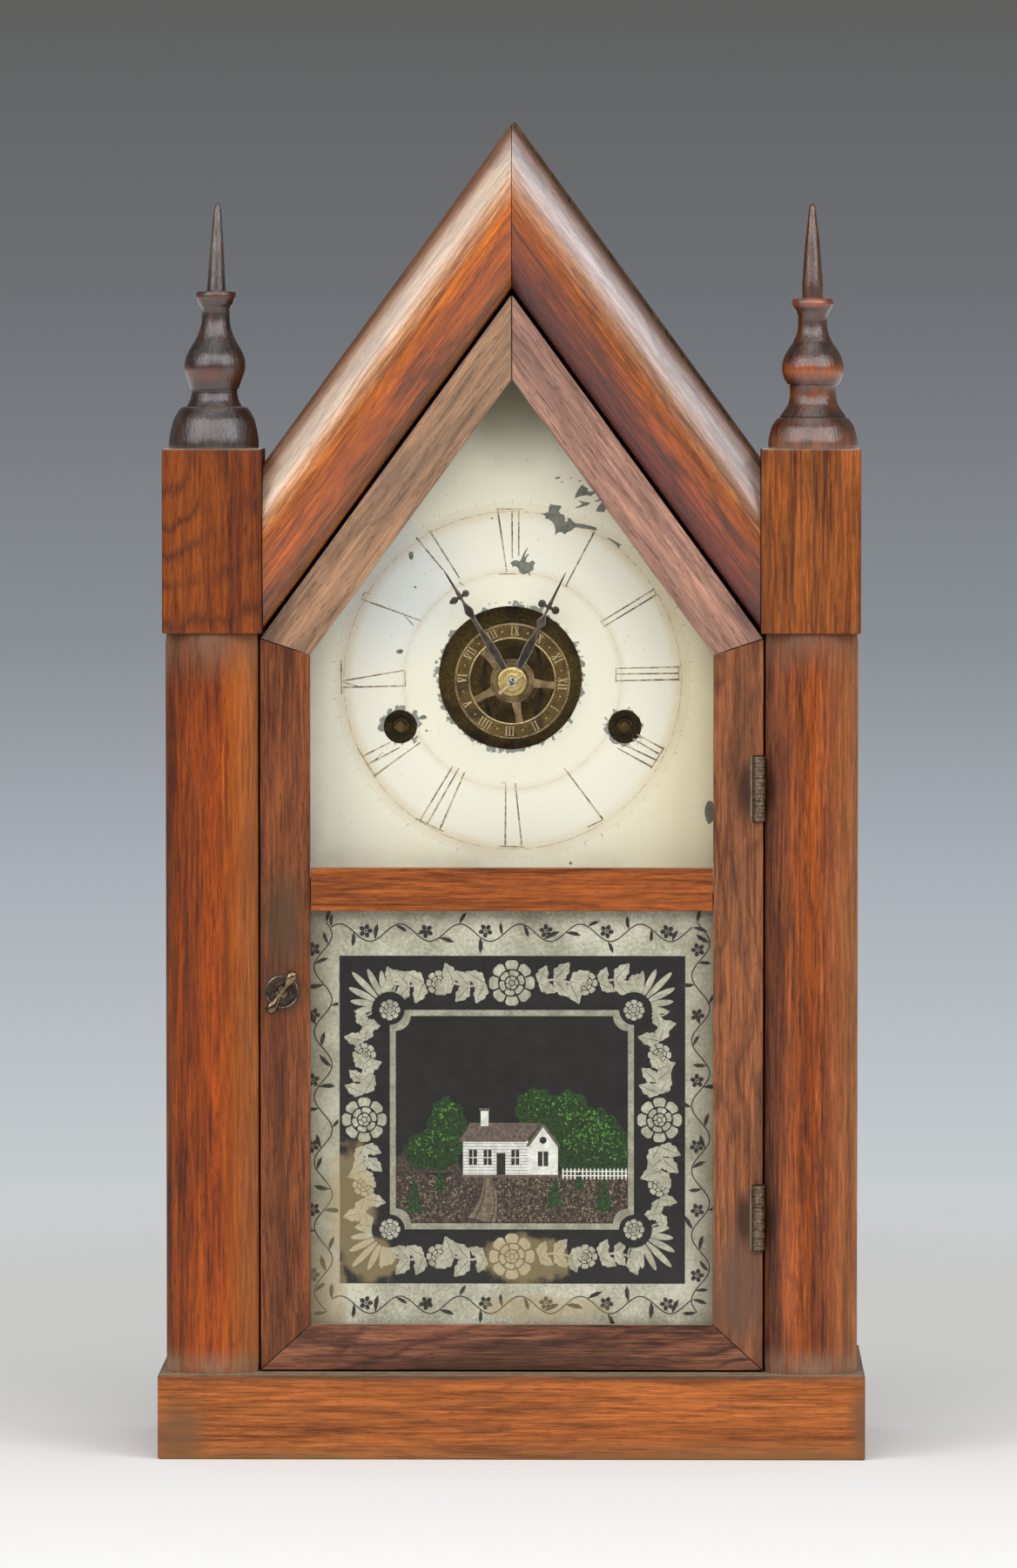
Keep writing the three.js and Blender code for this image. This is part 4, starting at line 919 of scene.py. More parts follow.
def springTree():
    g = Growth("wound_spring", Turns=3.0, First=0.01, Last=0.03, Wide=0.001, Deep=0.001, Corners=8, Steps=24,
               Material="Material")
    steps = g.calc("MULTIPLY", g.given["Turns"], g.given["Steps"])
    path = g.add("GeometryNodeCurveSpiral", {
        "Resolution": g.given["Steps"], "Rotations": g.given["Turns"], "Start Radius": g.given["First"],
        "End Radius": g.given["Last"], "Height": 0.0})[0]
    path = g.add("GeometryNodeResampleCurve", {"Curve": path, "Count": steps})[0]
    path = g.add("GeometryNodeSetCurveNormal", {"Curve": path}, mode="Z_UP")[0]
    profile = g.add("GeometryNodeCurvePrimitiveCircle", {"Resolution": g.given["Corners"], "Radius": 1.0})[0]
    size = g.add("ShaderNodeCombineXYZ", {0: g.given["Wide"], 1: g.given["Deep"], 2: 1.0})[0]
    profile = g.add("GeometryNodeTransform", {"Geometry": profile, "Scale": size})[0]
    g.close(g.add("GeometryNodeCurveToMesh", {"Curve": path, "Profile Curve": profile, "Fill Caps": True})[0])
    return g


# one shape on each point of a mesh, turned to the point's own "facing" and "twist"
def scatterTree():
    g = Growth("placed_shapes", Shape="Object", Size=1.0, Material="Material")
    shape = g.add("GeometryNodeObjectInfo", {"Object": g.given["Shape"]})["Geometry"]
    facing = g.add("GeometryNodeInputNamedAttribute", {"Name": "facing"}, data_type="FLOAT_VECTOR")[0]
    twist = g.add("GeometryNodeInputNamedAttribute", {"Name": "twist"}, data_type="FLOAT")[0]
    turn = g.add("FunctionNodeAlignRotationToVector", {"Vector": facing}, axis="Z")[0]
    spin = g.add("ShaderNodeCombineXYZ", {2: twist})[0]
    turn = g.add("FunctionNodeRotateRotation", {"Rotation": turn, "Rotate By": spin},
                 rotation_space="LOCAL")[0]
    g.close(g.add("GeometryNodeInstanceOnPoints", {
        "Points": g.start, "Instance": shape, "Rotation": turn, "Scale": g.given["Size"]})[0])
    return g


# a stem that follows a path, with leaves on one side and the other in turn, or in pairs
def stemTree():
    g = Growth("trailing_stem", Stem=0.0003, Spacing=0.006, Leaf="Object", Lean=0.8, Reach=1.0, Uneven=0.2,
               Pairs=0, Seed=1, Layer=0.00003, Material="Material")
    path = g.add("GeometryNodeMeshToCurve", {"Mesh": g.start})[0]
    profile = g.add("GeometryNodeCurvePrimitiveCircle", {"Resolution": 6, "Radius": g.given["Stem"]})[0]
    stem = g.add("GeometryNodeCurveToMesh", {"Curve": path, "Profile Curve": profile, "Fill Caps": True})[0]
    points = g.add("GeometryNodeCurveToPoints", {"Curve": path, "Length": g.given["Spacing"]}, mode="LENGTH")
    leaf = g.add("GeometryNodeObjectInfo", {"Object": g.given["Leaf"]})["Geometry"]
    along = g.add("FunctionNodeAlignRotationToVector", {"Vector": points["Tangent"]}, axis="X")[0]
    index = g.add("GeometryNodeInputIndex")[0]
    parity = g.calc("MODULO", index, 2.0)
    parts = [stem]
    for side in (1.0, -1.0):
        other = parity if side > 0 else g.calc("SUBTRACT", 1.0, parity)
        shown = g.add("FunctionNodeCompare", {0: g.calc("SUBTRACT", other, g.given["Pairs"]), 1: 0.5},
                      operation="LESS_THAN")[0]
        angle = g.add("ShaderNodeCombineXYZ", {2: g.calc("MULTIPLY", g.given["Lean"], side)})[0]
        turn = g.add("FunctionNodeRotateRotation", {"Rotation": along, "Rotate By": angle},
                     rotation_space="LOCAL")[0]
        spread = g.add("FunctionNodeRandomValue", {
            2: g.calc("SUBTRACT", g.given["Reach"], g.given["Uneven"]),
            3: g.calc("ADD", g.given["Reach"], g.given["Uneven"]), "Seed": g.given["Seed"]},
                       data_type="FLOAT")[1]
        lift = g.calc("MULTIPLY", g.calc("ADD", g.calc("MODULO", index, 4.0), 0.25 - 0.25 * side),
                      g.given["Layer"])
        lifted = g.add("GeometryNodeSetPosition", {
            "Geometry": points["Points"], "Offset": g.add("ShaderNodeCombineXYZ", {2: lift})[0]})[0]
        parts.append(g.add("GeometryNodeInstanceOnPoints", {
            "Points": lifted, "Selection": shown, "Instance": leaf, "Rotation": turn, "Scale": spread})[0])
    joined = g.tree.nodes.new("GeometryNodeJoinGeometry")
    for part in parts:
        g.tree.links.new(part, joined.inputs[0])
    g.close(joined.outputs[0])
    return g


springs, placed, stems = springTree(), scatterTree(), stemTree()


# copies of a shape on rows of (point, facing, twist), as one mesh
def scattered(name, shape, rows, size, material):
    mesh = bpy.data.meshes.new(name + "_spots")
    mesh.from_pydata([Vector(row[0]) * mm for row in rows], [], [])
    facing = mesh.attributes.new("facing", "FLOAT_VECTOR", "POINT")
    facing.data.foreach_set("vector", [c for row in rows for c in row[1]])
    twist = mesh.attributes.new("twist", "FLOAT", "POINT")
    twist.data.foreach_set("value", [row[2] for row in rows])
    return placed.grow(name, mesh, Shape=shape, Size=size, Material=material)


# Dial: the sheet, its worn numbers and the minute track

def houseOutline(half, bottom, apex):
    eave = apex - half * slope
    return [(-half, bottom), (half, bottom), (half, eave), (0, apex), (-half, eave)]


dialMarks = {  # what is left of each number: x, z from the centre to x, z, in mm
    "XII": [(-5.5, 62.9, -2.1, 40.0), (-0.2, 62.9, -0.1, 45.3), (2.3, 62.9, 2.3, 46.0),
            (-6.0, 63.3, 4.0, 63.3), (-5.1, 39.4, 1.6, 39.4)],
    "XI": [(-35.6, 52.8, -25.8, 41.0), (-30.5, 55.1, -19.5, 37.7), (-31.5, 54.9, -29.6, 55.5),
           (-19.9, 36.4, -17.8, 35.0)],
    "X": [(-56.0, 30.1, -33.9, 22.1), (-54.7, 32.6, -52.4, 31.9), (-54.7, 32.6, -55.6, 30.7),
          (-40.8, 25.0, -36.6, 20.3)],
    "IX": [(-62.8, -0.2, -40.3, 3.7), (-62.8, -0.6, -56.7, -2.4), (-62.6, -2.6, -39.8, -2.0),
           (-63.4, 7.4, -63.2, -5.2),
           (-39.8, 3.9, -39.6, -2.2)],
    "VIII": [(-55.6, -28.2, -45.3, -22.9), (-53.2, -30.9, -41.7, -24.8), (-51.0, -35.2, -34.1, -22.9),
             (-57.2, -25.3, -50.6, -35.7), (-51.8, -30.4, -48.0, -26.6)],
    "VII": [(-34.1, -51.6, -22.1, -31.7), (-31.7, -53.4, -19.9, -32.5), (-27.0, -55.3, -17.8, -34.1),
            (-36.0, -51.0, -25.6, -55.9)],
    "VI": [(-2.7, -60.9, -2.5, -37.9), (3.4, -60.9, 1.0, -37.9), (-4.3, -37.8, -2.3, -37.8),
           (-4.7, -61.3, 4.5, -61.6)],
    "V": [(33.4, -51.3, 19.2, -32.5), (22.7, -37.1, 21.1, -34.7), (27.8, -54.2, 33.4, -51.6)],
    "IIII": [(51.6, -32.0, 38.8, -25.0), (53.5, -29.6, 41.2, -23.7), (54.6, -27.4, 44.5, -21.5),
             (55.9, -25.3, 46.0, -19.9),
             (56.2, -24.5, 51.2, -32.5)],
    "III": [(61.5, 5.0, 38.5, 4.5), (61.5, 2.7, 38.5, 2.4), (61.5, 0.4, 38.5, -0.1), (38.2, 4.7, 38.2, -0.6),
            (61.5, 5.5, 61.5, -0.1)],
    "II": [(52.2, 33.7, 32.6, 21.6), (53.2, 31.8, 33.9, 20.0), (51.9, 34.2, 53.2, 31.3),
           (32.6, 22.1, 34.2, 19.7)],
    "I": [(30.2, 54.9, 19.7, 35.0), (18.7, 35.3, 20.5, 34.5)],
}


def rectangle(x0, z0, x1, z1):
    return [(x0, z0), (x1, z0), (x1, z1), (x0, z1)]


# the place of a point that lies v out and u across from a radius turned clockwise from the top of the dial
def turnedPoint(u, v, turn):
    return v * math.sin(turn) + u * math.cos(turn), handAxis + v * math.cos(turn) - u * math.sin(turn)


# a bar from one point to the other, with its width at each end
def stroke(x0, z0, x1, z1, w0, w1, y0, y1):
    along = Vector((x1 - x0, z1 - z0)).normalized()
    side = Vector((-along.y, along.x))
    a, b = side * w0 / 2, side * w1 / 2
    return plate([[(x0 + a.x, z0 + a.y), (x0 - a.x, z0 - a.y), (x1 - b.x, z1 - b.y), (x1 + b.x, z1 + b.y)]],
                 y0, y1)


dialParts = {"front": -17.2, "sheet": 0.8, "half": 86, "foot": 206, "apex": 412,
             "windingHoles": [(-41.5, 268), (41.5, 268)],
             "windingRadius": 6.2, "trackRadius": 66.2, "tick": (0.24, 1.6)}


def addDial():
    d, paint = dialParts, "dial_paint"
    front, (cx, cz, hole) = d["front"], dialWear["hole"]
    loops = [houseOutline(d["half"], d["foot"], d["apex"]), circle(hole, 128, (cx, cz))]
    loops += [circle(d["windingRadius"], 64, centre) for centre in d["windingHoles"]]
    addPiece("dial_sheet", plate(loops, front, front + d["sheet"]), finishes["dial"], "case", "dial")
    bars = []
    for rows in dialMarks.values():
        for k, (x0, z0, x1, z1) in enumerate(rows):
            long = math.hypot(x1 - x0, z1 - z0) > 7 and k < 4
            wide, thin = (0.62, 0.4) if long else (0.36, 0.3)
            bars.append(stroke(x0, z0 + handAxis, x1, z1 + handAxis, wide, thin, front - 0.06 - 0.008 * k,
                               front + 0.2))
    addPiece("dial_numbers", together(bars), finishes["ink"], "case", None)
    outlines = list(dialWear["flakes"])
    for k, (x, z, wide, tall) in enumerate(dialWear["specks"]):
        swell = [1 + 0.3 * noise.noise(Vector((u, v, k * 2.1))) for u, v in circle(1, 14)]
        rise = [1 + 0.3 * noise.noise(Vector((u, v, k * 3.3))) for u, v in circle(1, 14)]
        outlines.append([(x + wide * u * a, z + tall * v * b) for (u, v), a,
                         b in zip(circle(1, 14), swell, rise)])
    bare = [plate([outline], front - 0.02, front + 0.1) for outline in outlines]
    addPiece("bare_patches", together(bare), finishes["flake"], "case", None)
    wide, long = d["tick"]
    mark = plate([rectangle(-wide / 2, -long / 2, wide / 2, long / 2)], -0.03, 0.03)
    tick = inScene("tick", meshOf("tick", mark))
    rows = []
    for k in range(60):
        angle = 2 * math.pi * k / 60
        x, z = turnedPoint(0, d["trackRadius"], angle)
        rows.append(((x, front - 0.02, z), (math.sin(angle), 0, math.cos(angle)), 0.0))
    ticks = scattered("minute_track", tick, rows, 1.0, finishes["track"])
    register("minute_track", ticks, finishes["track"], "case", None)
    bpy.data.objects.remove(tick)


addDial()
print("dial made")


# Alarm disc: rims, numbers, spokes and hub

alarmDisc = {
    "front": -21.6, "back": -20.4, "numberFoot": 16.95, "numberTop": 20.15, "dots": 18.5,
    "spokes": [27, 96, 170, 243, 315], "turn": 93,  # degrees, from the dial's top
    "numbers": ["XII", "I", "II", "III", "IIII", "V", "VI", "VII", "VIII", "IX", "X", "XI"],
}


# strokes of a Roman number around u = 0, each from (u, v) to (u, v), v from 0 at the foot to 1
def numberStrokes(text):
    widths = {"I": 1.25, "V": 2.2, "X": 2.3}
    total = sum(widths[c] for c in text)
    u, lines, serifs = -total / 2, [], []
    for c in text:
        serifs.append((c, u + widths[c] / 2))
        mid, half = u + widths[c] / 2, widths[c] / 2 - 0.42
        if c == "I":
            lines.append((mid, 0, mid, 1, 0.42))
        elif c == "V":
            lines += [(mid, 0, mid - half, 1, 0.46), (mid, 0, mid + half, 1, 0.28)]
        else:
            lines += [(mid + half, 0, mid - half, 1, 0.46), (mid - half, 0, mid + half, 1, 0.28)]
        u += widths[c]
    for c, mid in serifs:  # short feet, joined over a run of I
        lines += [(mid - 0.5, v, mid + 0.5, v, 0.2) for v in ((0.0, 1.0) if c != "V" else (1.0,))]
    return lines


def addAlarmDisc():
    d = alarmDisc
    front, back, foot, centre = d["front"], d["back"], d["numberFoot"], (0, handAxis)
    rim = [(back, 20.6), (back, 21.3), (back + 0.1, 21.4), (front + 0.25, 21.4), (front, 21.25),
           (front - 0.12, 21.05),
           (front - 0.1, 20.75), (front + 0.12, 20.6)]
    inner = [(back, 15.6), (front + 0.2, 15.5), (front - 0.05, 15.65), (front - 0.12, 15.9),
             (front - 0.02, 16.15), (front + 0.15, 16.25), (back, 16.25)]
    ground = [(back + 0.1, 16.2), (front + 0.18, 16.2), (front + 0.18, 20.65), (back + 0.1, 20.65)]
    hub = [(back, 3.6), (front + 0.25, 3.6), (front + 0.2, 5.6), (front - 0.1, 5.75), (front - 0.1, 6.0),
           (front + 0.15, 6.2), (front + 0.15, 7.3), (front - 0.12, 7.5), (front - 0.12, 7.95),
           (front + 0.2, 8.2), (back, 8.2)]
    pipe = [(-14.5, 3.6), (-14.5, 4.8), (-22.4, 4.8), (-22.6, 4.6), (-22.6, 3.8), (-22.4, 3.6)]
    parts = [(*ringBody(profile, centre, 96), mark) for profile, mark in (
        (rim, 0), (inner, 0), (hub, 2), (pipe, 2), (ground, 1))]
    half = [(1.75, 7.6), (1.3, 11), (1.15, 14), (1.45, 15.8)]
    spoke = [(-u, v) for u, v in half] + list(reversed(half))
    for clockwise in d["spokes"]:
        outline = [turnedPoint(u, v, math.radians(clockwise)) for u, v in spoke]
        parts.append((*plate([outline], front + 0.1, back + 0.05), 2))
    for k, text in enumerate(d["numbers"]):
        turn = math.radians(d["turn"] + 30 * k)
        for n, (u0, v0, u1, v1, wide) in enumerate(numberStrokes(text)):
            ends = [turnedPoint(u, foot + v * (d["numberTop"] - foot), turn) for u, v in ((u0, v0), (u1, v1))]
            parts.append((*stroke(*ends[0], *ends[1], wide, wide, front - 0.02 - 0.012 * n, front + 0.3), 3))
    metals = [finishes[key] for key in ("brassDisc", "brassBand", "brassSpoke", "brassNumber")]
    addPiece("alarm_disc_plate", together(parts), metals, "alarm_setting", "alarm_disc")
    bead = turned([(-0.05, 0.32), (0.12, 0.28), (0.2, 0.15), (0.22, 0)], (0, 0, 0), True, 10)
    dot = inScene("dot", meshOf("dot", bead))
    rows = []
    for k in range(12):
        x, z = turnedPoint(0, d["dots"], math.radians(d["turn"] + 15 + 30 * k))
        rows.append(((x, front + 0.15, z), (0, -1, 0), 0.0))
    dots = scattered("alarm_disc_dots", dot, rows, 1.0, metals[3])
    register("alarm_disc_dots", dots, metals[3], "alarm_setting", None)
    bpy.data.objects.remove(dot)


addAlarmDisc()
print("alarm disc made")


# Hands, collet and pin

handShapes = {
    "hour": {"front": -24.4, "turn": 26.2, "lobes": 30.5, "reach": 2.75, "lobe": 1.5, "tip": 45.0,
             "pointed": 0, "blade": [(3.4, 0.9), (7, 1.15), (11, 1.5), (14.5, 1.55), (18, 1.0), (21, 0.55),
                                     (22.3, 0.75), (24, 1.5),
                       (25.6, 0.95), (27, 0.45), (29, 0.42)]},
    "minute": {"front": -27.0, "turn": -31.6, "lobes": 36.6, "reach": 2.4, "lobe": 1.3, "tip": 49.0,
               "pointed": -1, "blade": [(3.0, 0.9), (7, 1.1), (12, 1.5), (15.5, 1.5), (20, 0.95),
                                        (25.5, 0.6), (27.6, 0.75),
                         (30.3, 1.55),
                         (32.6, 0.85), (34, 0.45), (35.2, 0.42)]},
}


# a strip along a hand through stations of (distance out, half width), with a section of (across, y) at each
def alongHand(stations, turn, section):
    rings = []
    for v, half in stations:
        points = [(*turnedPoint(u, v, turn), y) for u, y in section(half)]
        rings.append([(x, y, z) for x, z, y in points])
    return loft(rings)


def ridge(stations, front, turn):
    def section(half):
        side = [(half, front + 0.8), (half, front + 0.252), (half * 0.55, front + 0.12)]
        return [(-u, y) for u, y in side] + [(0, front)] + list(reversed(side))

    return alongHand(stations, turn, section)


# the filed edges of the hands, in a lighter steel that paints a highlight along them
def filedEdges(hand, mark):
    stations, front = curved(hand["blade"], 5), hand["front"]
    edges = []
    for side in (-1, 1):
        edge = alongHand(stations, math.radians(hand["turn"]), lambda half: [
            (side * (half - 0.1), front + 0.1), (side * (half + 0.1), front + 0.16),
            (side * (half + 0.12), front + 0.5), (side * (half - 0.1), front + 0.6)])
        edges.append((*edge, mark))
    return edges


def handParts(hand):
    turn, front, at = math.radians(hand["turn"]), hand["front"], hand["lobes"]
    blade = curved(hand["blade"], 5)
    upper = curved([(at - 1.6, 0.42), (at, 0.6), (at + 1.6, 0.75), (at + 3.4, 0.5), (hand["tip"] - 3, 0.28),
                    (hand["tip"], 0.06)], 5)
    parts = [ridge(blade, front, turn), ridge(upper, front + 0.01, turn)]
    knot = turnedPoint(0, at, turn)
    parts.append(turned([(front + 0.8, 0), (front + 0.8, 1.05), (front + 0.3, 1.1), (front + 0.02, 0.6),
                         (front, 0)],
                        (knot[0], 0, knot[1]), False, 24))
    for side in (-1, 1):
        inner, outer = turnedPoint(0, at, turn), turnedPoint(side * hand["reach"], at - 0.1, turn)
        parts.append(stroke(*inner, *outer, 1.3, 0.95, front + 0.12, front + 0.78))
        x, z = turnedPoint(side * hand["reach"], at, turn)
        r = hand["lobe"]
        lobe = turned([(front + 0.8, 0), (front + 0.8, r * 0.92), (front + 0.55, r), (front + 0.3, r * 0.97),
                       (front + 0.12, r * 0.8), (front + 0.03, r * 0.45), (front, 0)], (x, 0, z), False, 28)
        if side == hand["pointed"]:  # one lobe ends in a leaf point
            away = Vector((side * math.cos(turn), -side * math.sin(turn)))
            points = []
            for px, py, pz in lobe[0]:
                reach = max((Vector((px - x, pz - z)).dot(away)) / r, 0)
                points.append((px + away.x * 0.7 * r * reach ** 3, py, pz + away.y * 0.7 * r * reach ** 3))
            lobe = (points, lobe[1])
        parts.append(lobe)
    return parts


def toothedRing(radius, teeth, depth, bore, centre, y0, y1):
    outline = []
    for k in range(teeth):
        for share, r in ((0.0, radius - depth), (0.22, radius - depth), (0.36, radius), (0.64, radius),
                         (0.78, radius - depth)):
            a = 2 * math.pi * (k + share) / teeth
            outline.append((centre[0] + r * math.cos(a), centre[1] + r * math.sin(a)))
    return plate([outline, circle(bore, 24, centre)], y0, y1)


def addHands():
    axis, hour, minute = (0, handAxis), handShapes["hour"], handShapes["minute"]
    front = hour["front"]
    boss = ringBody([(front + 0.8, 2.2), (front + 0.8, 5.3), (front + 0.5, 5.4), (front + 0.15, 5.3),
                     (front, 5.0), (front, 2.2)], axis)
    pipe = ringBody([(-7.4, 2.2), (-7.4, 3.2), (-24.0, 3.2), (-24.0, 2.2)], axis, 32)
    wheel = toothedRing(11, 36, 1, 2.2, axis, -8.6, -7.4)
    addPiece("hour_hand_work", together([*handParts(hour), boss, (*pipe, 1), (*wheel, 1),
                                         *filedEdges(hour, 2)]),
             [finishes["handSteel"], finishes["brassPlate"], finishes["handEdgeGlint"]], "hour_work", "hour_hand")
    front = minute["front"]
    boss = ringBody([(front + 0.8, 1.35), (front + 0.8, 3.2), (front + 0.6, 3.4), (front + 0.1, 3.35),
                     (front, 3.1), (front, 1.35)], axis, 48)
    addPiece("minute_hand_blade", together([*handParts(minute), boss, *filedEdges(minute, 1)]),
             [finishes["handSteel"], finishes["handEdgeGlint"]], "minute_work", "minute_hand")
    washer = ringBody([(-27.05, 1.35), (-27.05, 5.3), (-27.25, 5.5), (-27.5, 5.35), (-27.75, 4.9),
                       (-27.85, 4.2), (-27.7, 3.6), (-27.85, 3.0), (-28.0, 2.2), (-28.0, 1.35)], axis)
    addPiece("hand_collet", washer, finishes["brassBright"], "minute_work", None)
    corners = [math.radians(20 + 90 * k) for k in range(4)]
    square = loft([[(r * math.cos(a), y, handAxis + r * math.sin(a)) for a in corners]
                   for y, r in ((-26.0, 1.9), (-29.3, 1.9), (-29.5, 1.5))])
    # the arbor's square end takes the finish with the painted highlight
    addPiece("arbor_square", square, finishes["arborSteelGlint"], "minute_work", None)
    a, b = Vector((4.1, -28.55, handAxis + 2.7)), Vector((-4.7, -28.75, handAxis - 4.3))
    addPiece("taper_pin", wireBody([a, a.lerp(b, 0.5), b], [0.42, 0.6, 0.8], 14), finishes["brassNumber"],
             "minute_work", None)


# a rod through points with a radius at each, its ends rounded
def wireBody(path, radii, segments):
    rings = []
    for i, point in enumerate(path):
        before, after = path[max(i - 1, 0)], path[min(i + 1, len(path) - 1)]
        along = (Vector(after) - Vector(before)).normalized()
        up = Vector((0, 0, 1)) if abs(along.z) < 0.9 else Vector((0, 1, 0))
        u = along.cross(up).normalized()
        v = along.cross(u).normalized()
        sizes = [(0.0, 1.0)]
        if i == 0:
            sizes = [(-0.6, 0.3), (-0.35, 0.75), (0.0, 1.0)]
        elif i == len(path) - 1:
            sizes = [(0.0, 1.0), (0.35, 0.75), (0.6, 0.3)]
        for ahead, share in sizes:
            r = radii[i] * share
            middle = Vector(point) + along * ahead * radii[i]
            rings.append([tuple(middle + u * r * math.cos(2 * math.pi * k / segments)
                                + v * r * math.sin(2 * math.pi * k / segments)) for k in range(segments)])
    return loft(rings)


addHands()
print("hands made")


# Turn button with its rose, and the latch hook behind the stile

knob = {
    "x": -84.5, "z": 171.4, "lean": 57.5, "grip": -44.1,
    "half": [(0, 0.95, 1.1), (2.9, 1.1, 1.2), (4.6, 1.75, 1.5), (6.1, 2.1, 1.75), (7.6, 1.95, 1.6),
             (8.7, 1.3, 1.1),
             (9.1, 0.5, 0.5)],  # distance out, half width and half depth of one lobe of the button
}


def addKnob():
    x, z = knob["x"], knob["z"]
    rose = ringBody([(-40.0, 2.1), (-40.0, 5.6), (-40.85, 5.6), (-40.8, 5.0), (-40.75, 4.4), (-40.95, 3.4),
                     (-41.1, 2.6), (-41.1, 2.1)], (x, z))
    rim = ringBody([(-40.0, 5.4), (-40.0, 6.1), (-40.7, 6.2), (-41.15, 6.05), (-41.3, 5.8), (-41.15, 5.5),
                    (-40.8, 5.4)], (x, z))
    hole = turned([(-40.7, 0), (-40.7, 0.55), (-40.9, 0.6), (-40.92, 0)], (x - 2.6, 0, z + 3.1), False, 16)
    addPiece("button_rose", together([rose, (*rim, 1), (*hole, 2)]),
             [finishes["rose"], finishes["rimBright"], finishes["iron"]], "door", "knob_rose")
    lean, rings = math.radians(knob["lean"]), []
    stations = [(-t, wide, deep) for t, wide, deep in reversed(knob["half"][1:])] + knob["half"]
    for t, wide, deep in curved(stations, 3):
        mid = knob["grip"] - 0.25 * abs(t) / 8
        ring = [(wide * u, mid + deep * v) for u, v in circle(1, 20)]
        rings.append([(x + t * math.cos(lean) - u * math.sin(lean), y,
                       z + t * math.sin(lean) + u * math.cos(lean)) for u, y in ring])
    stem = turned([(-26.2, 0), (-26.2, 1.7), (-42.2, 1.7), (-42.8, 2.3), (-43.6, 2.2), (-44.0, 0)], (x, 0, z),
                  False, 28)
    addPiece("turn_button", together([loft(rings), stem]), finishes["knob"], "latch", "door_knob")


addKnob()
wornCopy("latch_hook", "latch_arm", finishes["iron"], "latch", 0.2)
for level in ("upper", "lower"):
    wornCopy(f"{level}_hinge_case_leaf", f"{level}_case_hinge_leaf", finishes["hinge"], "case", 0.22)
    wornCopy(f"{level}_hinge_door_leaf", f"{level}_door_hinge_leaf", finishes["hinge"], "door", 0.22)


hingeBarrel = {
    "x": 90.9, "y": -40.6, "heights": {"upper": 246.2, "lower": 88.1}, "length": 24, "inner": 2.03,
    "rib": 2.3, "groove": 2.08, "ribs": 17, "corners": 28, "lip": (87.7, 88.45),
    "knuckles": (("outer", "door", ((0, 5.55), (11.45, 17))), ("middle", "case", ((5.7, 11.3),))),  # in ribs
}


# a ribbed sleeve over one knuckle
def sleeve(low, start, end):
    b, n = hingeBarrel, hingeBarrel["corners"]
    steps = int(round((end - start) * 8))
    outside = []
    for k in range(steps + 1):
        t = start + (end - start) * k / steps
        swell = abs(math.sin(math.pi * t)) ** 0.6
        outside.append((low + t * b["length"] / b["ribs"], b["groove"] + (b["rib"] - b["groove"]) * swell))
    profile = [(outside[0][0], b["inner"]), *outside, (outside[-1][0], b["inner"])]
    points, faces = loft([[(b["x"] + u, b["y"] + v, along) for u, v in circle(radius, n)] for along,
                          radius in profile],
                         False)
    last = len(profile) - 1
    return points, faces + [[last * n + j, last * n + (j + 1) % n, (j + 1) % n, j] for j in range(n)]


# the sleeves of both hinges, and the turned edge of each leaf that shows on the door, in a lighter iron that
# paints a highlight along it
def addHingeBarrels():
    b = hingeBarrel
    for level, height in b["heights"].items():
        low, high = height - b["length"] / 2, height + b["length"] / 2
        for name, body, runs in b["knuckles"]:
            sleeves = together([sleeve(low, *run) for run in runs])
            addPiece(f"{level}_{name}_knuckles", sleeves, finishes["hinge"], body, None, 60)
        lip = plate([rectangle(b["lip"][0], low, b["lip"][1], high)], -40.28, -39.9)
        addPiece(f"{level}_leaf_edge", lip, finishes["hingeEdgeGlint"], "door", None)


addHingeBarrels()
print("button and hinges made")


# Upper glass

upperPane = {"opening": 74.1, "foot": 217.1, "doorApex": 427.5, "rafter": 18.3, "rebate": 3.8}


def addUpperGlass():
    p = upperPane
    apex = p["doorApex"] - (p["rafter"] - p["rebate"]) * math.hypot(1, slope)
    outline = houseOutline(p["opening"] + p["rebate"], p["foot"] - p["rebate"], apex)
    addPiece("upper_pane", plate([outline], -36, -34), finishes["glass"], "door", "upper_glass")


addUpperGlass()
print("upper glass made")


# Lower tablet: a pane with its painting on the back. A silvered field with black sprays, a black band with
# silvered rosettes and leaves, and a small landscape.

tablet = {
    "half": 77.9, "low": 44.7, "high": 204.9, "back": -34.0, "step": 0.04,
    "band": (63.9, 63.1, 184.3), "window": (45.0, 83.2, 164.3), "line": 2.2, "notch": 5.5,
    "stains": [(-60, 92, 15, 34), (-52, 72, 16, 14), (5, 72, 27, 14), (-70, 60, 14, 30), (12, 54, 40, 8)],
}


def paintFinish(name, dark, mid, light, size, grain, seed, stain=None, stained=0.0, edge=None):
    f = newFinish(name)
    shift = (seed * 13.0, 0, seed * 7.0)
    cloud = f.noise(f.place((size, 30, size), shift=shift), 4, 0.6)
    fine = f.noise(f.place((grain, 9, grain), shift=shift), 3, 0.65)
    colour = f.ramp(cloud * 0.55 + fine * 0.45, (0.38, dark), (0.5, mid), (0.62, light))
    if stain:
        area = None
        for x, z, wide, tall in tablet["stains"]:
            one = f.spot((x, -34, z), (wide, 60, tall))
            area = f.calc("MAXIMUM", area, one) if area else one
        big = f.noise(f.place((7, 30, 7), shift=(4, 0, 8)), 4, 0.6)
        colour = f.blend(f.level(area + (big - 0.5) * 0.8, 0.28, 0.5) * stained, colour, stain)
    if edge:
        side = abs(f.part(f.coords, "X")) + fine * 0.006
        colour = f.blend(f.level(side, 0.062, 0.078) * 0.55, colour, edge)
    return f.surface(Base_Color=colour, Roughness=0.6, Specular_IOR_Level=0.3, Normal=f.bump(fine, 0.03))


